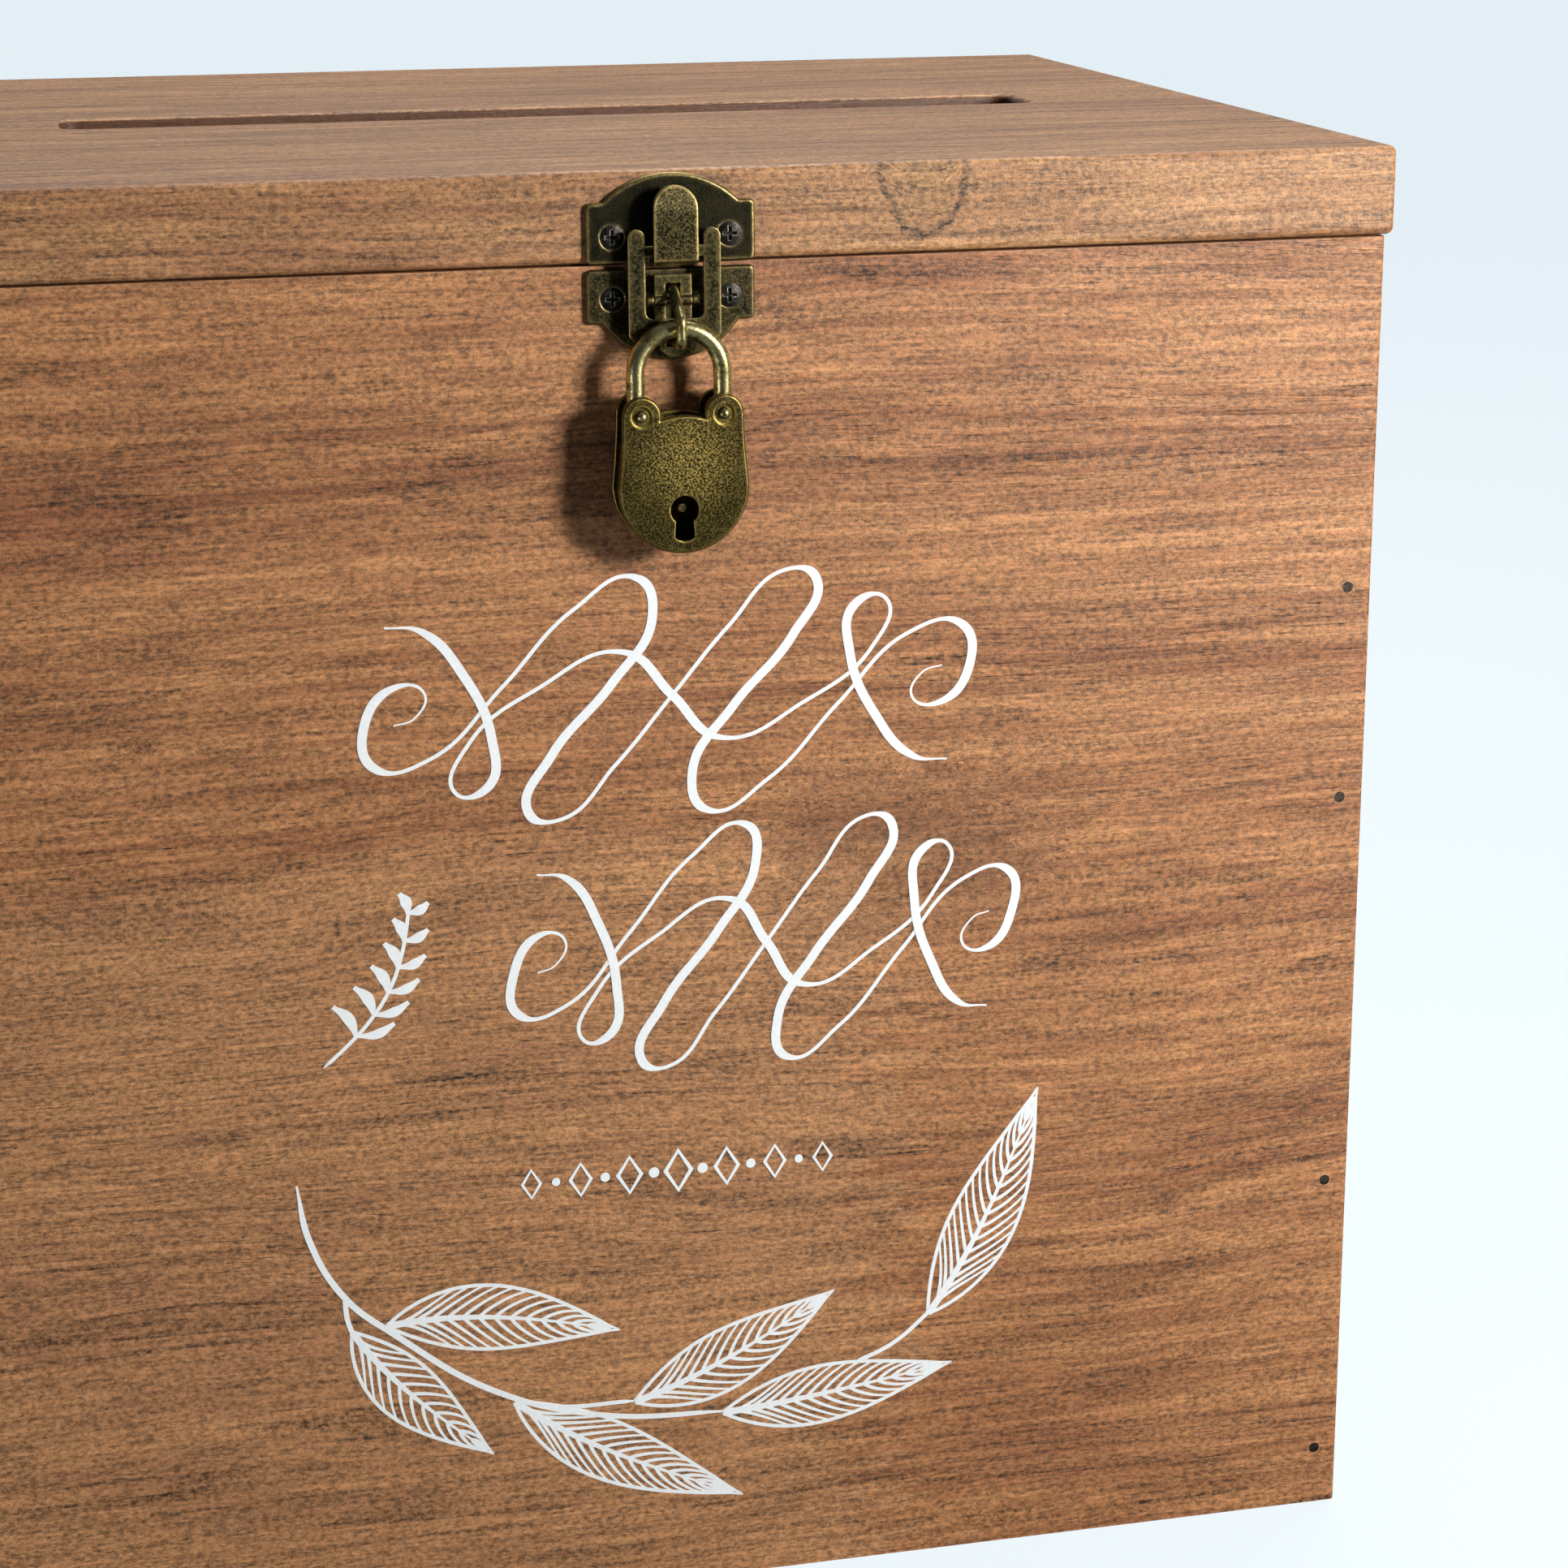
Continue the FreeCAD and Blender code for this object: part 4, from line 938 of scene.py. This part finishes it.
def place_on(tree, points, shape, share):
    """The shape on each of the points, as large there as the share says."""
    size = vector_of(tree, X=share, Y=share, Z=1.0)
    return first(tree, "GeometryNodeInstanceOnPoints",
                 {"Points": points, "Instance": shape, "Scale": size})


across = axes_of(tree, tree.nodes.new("GeometryNodeInputPosition").outputs[0])["X"]
from_middle = over(tree, step(tree, "ABSOLUTE", across), given["Half Length"])
shrink = minus(tree, 1.0, times(tree, from_middle, minus(tree, 1.0, given["End Share"])))
lozenge = first(tree, "GeometryNodeCurvePrimitiveCircle",
                {"Resolution": 4, "Radius": times(tree, given["Lozenge Height"], 0.5)})
lozenge = first(tree, "GeometryNodeTransform", {"Geometry": lozenge, "Scale": LOZENGE_SHAPE})
lozenge = flat_ribbon(tree, with_radius(tree, lozenge, given["Line"]), given["Line"])
big = place_on(tree, row_points(tree, given["Lozenges"], given["Half Length"]), lozenge, shrink)

gaps = minus(tree, given["Lozenges"], 1.0)
half_gap = over(tree, given["Half Length"], gaps)
bead = add(tree, "GeometryNodeMeshCylinder",
           {"Vertices": 20, "Radius": given["Bead"], "Depth": FILM_T}).outputs["Mesh"]
bead = first(tree, "GeometryNodeTransform",
             {"Geometry": bead, "Translation": (0, 0, FILM_T / 2)})
between = row_points(tree, gaps, minus(tree, given["Half Length"], half_gap))
small = place_on(tree, between, bead, shrink)
end_tree(tree, joined(tree, (big, small)), given["Film"], result)
print("row tree nodes:", len(tree.nodes))

# %% [markdown]
# The row lies level under the flourishes, and with it the upper decoration is complete.

# %% The upper decoration
ROW_PLACE = Matrix.Translation((-0.6 * MM, (SEAM_Z - 158.2) * MM, 0))

row_source = bpy.data.objects.new("bead_row", bpy.data.meshes.new("bead_row"))
film_parts.append(cut_film("bead_row", row_source, row_tree, {"Film": vinyl},
                           onto_front @ ROW_PLACE))
join_film("scroll_vinyl", film_parts, "scroll_film")

# %% [markdown]
# ## The sprig
# Its leaves are alike in make and different in size, so one tree draws a leaf from a bowed
# spine: two edges, a midrib that is thick at the root, and slanted veins on both sides. Every
# line is first laid out in the leaf's own terms, a share along the spine and a share across,
# and one formula then puts it in place. That keeps veins inside the edge of any leaf.

# %% Leaf tree: midrib and edges
leaf_tree = bpy.data.node_groups.new("sprig_leaf", "GeometryNodeTree")
tree = leaf_tree
given, result = film_inputs(tree, {"Length": 40.0 * MM, "Width": 11.5 * MM, "Bow": 3.0 * MM,
                                   "Veins": 13, "Reach": 0.21, "Line": 0.54 * MM})
rib_widest = times(tree, given["Line"], 2.6)
RIB_END = 0.96


def straight(tree, start, end, count):
    """A straight curve with count points."""
    line = first(tree, "GeometryNodeCurvePrimitiveLine", {"Start": start, "End": end})
    return first(tree, "GeometryNodeResampleCurve", {"Curve": line, "Count": count})


here = axes_of(tree, tree.nodes.new("GeometryNodeInputPosition").outputs[0])
rib_width = ease(tree, here["X"], -0.2, RIB_END, rib_widest, times(tree, given["Line"], 0.7))
midrib = with_radius(tree, straight(tree, (0, 0, 0), (RIB_END, 0, 0), 40), rib_width)
edge_width = times(tree, given["Line"], ease(tree, here["X"], 0.86, 1.0, 1.2, 0.45))
edges = [with_radius(tree, straight(tree, (0, side, 0), (1, side, 0), 64), edge_width)
         for side in (1, -1)]
print("midrib and edges made")

# %% [markdown]
# A vein starts as a straight line to one side. Copies of it stand at even stations, which are
# stacked along Z so that each still knows its station when its points are moved into the leaf.

# %% Leaf tree: veins
FIRST_STATION = 0.05
LAST_STATION = 0.86

stations = first(tree, "GeometryNodeMeshLine",
                 {"Count": given["Veins"], "Start Location": (0, 0, FIRST_STATION),
                  "Offset": (0, 0, LAST_STATION)}, mode="END_POINTS")
outward = step(tree, "ABSOLUTE", here["X"])
vein_width = times(tree, given["Line"], ease(tree, outward, 0.0, 1.0, 1.2, 0.7))
reach = times(tree, given["Reach"], minus(tree, 1.12, times(tree, here["Z"], 0.55)))
share_along = plus(tree, here["Z"], times(tree, outward, reach))
veins = []
for side in (1, -1):
    row = first(tree, "GeometryNodeInstanceOnPoints",
                {"Points": stations, "Instance": straight(tree, (0, 0, 0), (side, 0, 0), 9)})
    row = first(tree, "GeometryNodeRealizeInstances", {0: row})
    row = with_radius(tree, row, vein_width)
    share_across = times(tree, step(tree, "POWER", outward, 0.85), float(side))
    in_leaf = vector_of(tree, X=share_along, Y=share_across)
    veins.append(first(tree, "GeometryNodeSetPosition", {"Geometry": row, "Position": in_leaf}))
print("veins made for", len(veins), "sides")

# %% [markdown]
# The formula takes a point's share along to a place on the bowed spine, and moves it sideways by
# its share across, times the leaf's half width there. The half width is a sine that is fullest a
# little nearer the root and ends in a point.

# %% Leaf tree: laid along the spine
third = over(tree, given["Length"], 3.0)
spine = first(tree, "GeometryNodeCurvePrimitiveBezierSegment", {
    "Resolution": 48, "Start": (0, 0, 0),
    "Start Handle": vector_of(tree, X=third, Y=given["Bow"]),
    "End Handle": vector_of(tree, X=times(tree, third, 2.0), Y=times(tree, given["Bow"], 0.55)),
    "End": vector_of(tree, X=given["Length"])})
on_spine = add(tree, "GeometryNodeSampleCurve", {"Curves": spine, "Factor": here["X"]},
               mode="FACTOR").outputs
sideways = vector_step(tree, "CROSS_PRODUCT", on_spine["Tangent"], (0, 0, -1))
fullness = step(tree, "SINE", times(tree, step(tree, "POWER", here["X"], 0.78), math.pi))
fullness = step(tree, "POWER", step(tree, "MAXIMUM", fullness, 0.0), 1.12)
offset = times(tree, times(tree, here["Y"], fullness), times(tree, given["Width"], 0.5))
laid_place = vector_step(tree, "ADD", on_spine["Position"], stretched(tree, sideways, offset))
laid = first(tree, "GeometryNodeSetPosition",
             {"Geometry": joined(tree, [midrib, *edges, *veins]), "Position": laid_place})
end_tree(tree, flat_ribbon(tree, laid, rib_widest), given["Film"], result)
print("leaf tree nodes:", len(tree.nodes))

# %% [markdown]
# Six leaves grow from one winding stem. A leaf needs only its root, its tip, its width and its
# bow; its length, its direction and its number of veins follow.

# %% Leaves
VEIN_SPACING = 3.1
LEAVES = [  # root and tip on the front, width, bow to the left of the way it grows; all in mm
    ((-52.5, 55.5), (-11.5, 50.2), 12.0, 3.4), ((-58.5, 55.0), (-34.5, 29.0), 10.5, -2.6),
    ((-9.0, 36.0), (27.5, 53.5), 11.5, -2.4), ((-30.5, 38.5), (10.5, 15.5), 11.0, -3.0),
    ((7.0, 32.0), (49.5, 37.0), 11.0, -1.0), ((45.0, 47.0), (65.0, 88.5), 12.5, -3.0)]

sprig_parts = []
for number, (root, tip, width, bow) in enumerate(LEAVES):
    length = math.dist(root, tip)
    turn = math.atan2(tip[1] - root[1], tip[0] - root[0])
    place = (onto_front @ Matrix.Translation((root[0] * MM, root[1] * MM, 0))
             @ Matrix.Rotation(turn, 4, "Z"))
    name = f"leaf_{number}"
    source = bpy.data.objects.new(name, bpy.data.meshes.new(name))
    sprig_parts.append(cut_film(name, source, leaf_tree, {
        "Length": length * MM, "Width": width * MM, "Bow": bow * MM,
        "Veins": round(length / VEIN_SPACING), "Film": vinyl}, place))
print("leaves:", len(sprig_parts))

# %% [markdown]
# The stem and its short branches are pen strokes again, nearly even in width. They end at the
# roots of the leaves.

# %% Stems, and the whole sprig
STEMS = [  # name, width in mm, route on the front in mm
    ("stem", 1.1, [(-67.0, 83.0), (-65.3, 73.0), (-59.5, 61.5), (-51.5, 54.0), (-33.5, 40.8),
                   (-14.0, 34.0), (8.0, 32.2)]),
    ("side_stem", 0.9, [(-36.0, 42.0), (-25.0, 37.2), (-9.0, 36.2)]),
    ("outer_stem", 0.95, [(31.0, 38.8), (38.5, 42.0), (45.5, 47.6)]),
    ("leaf_stalk", 0.9, [(-59.6, 61.6), (-59.3, 57.5), (-58.4, 54.5)])]

for name, thick, route in STEMS:
    sprig_parts.append(pen_line(name, [route], onto_front,
                                Thick=thick * MM, Thin=thick * 0.8 * MM, Taper=0.08))
join_film("sprig_vinyl", sprig_parts, "sprig_film")
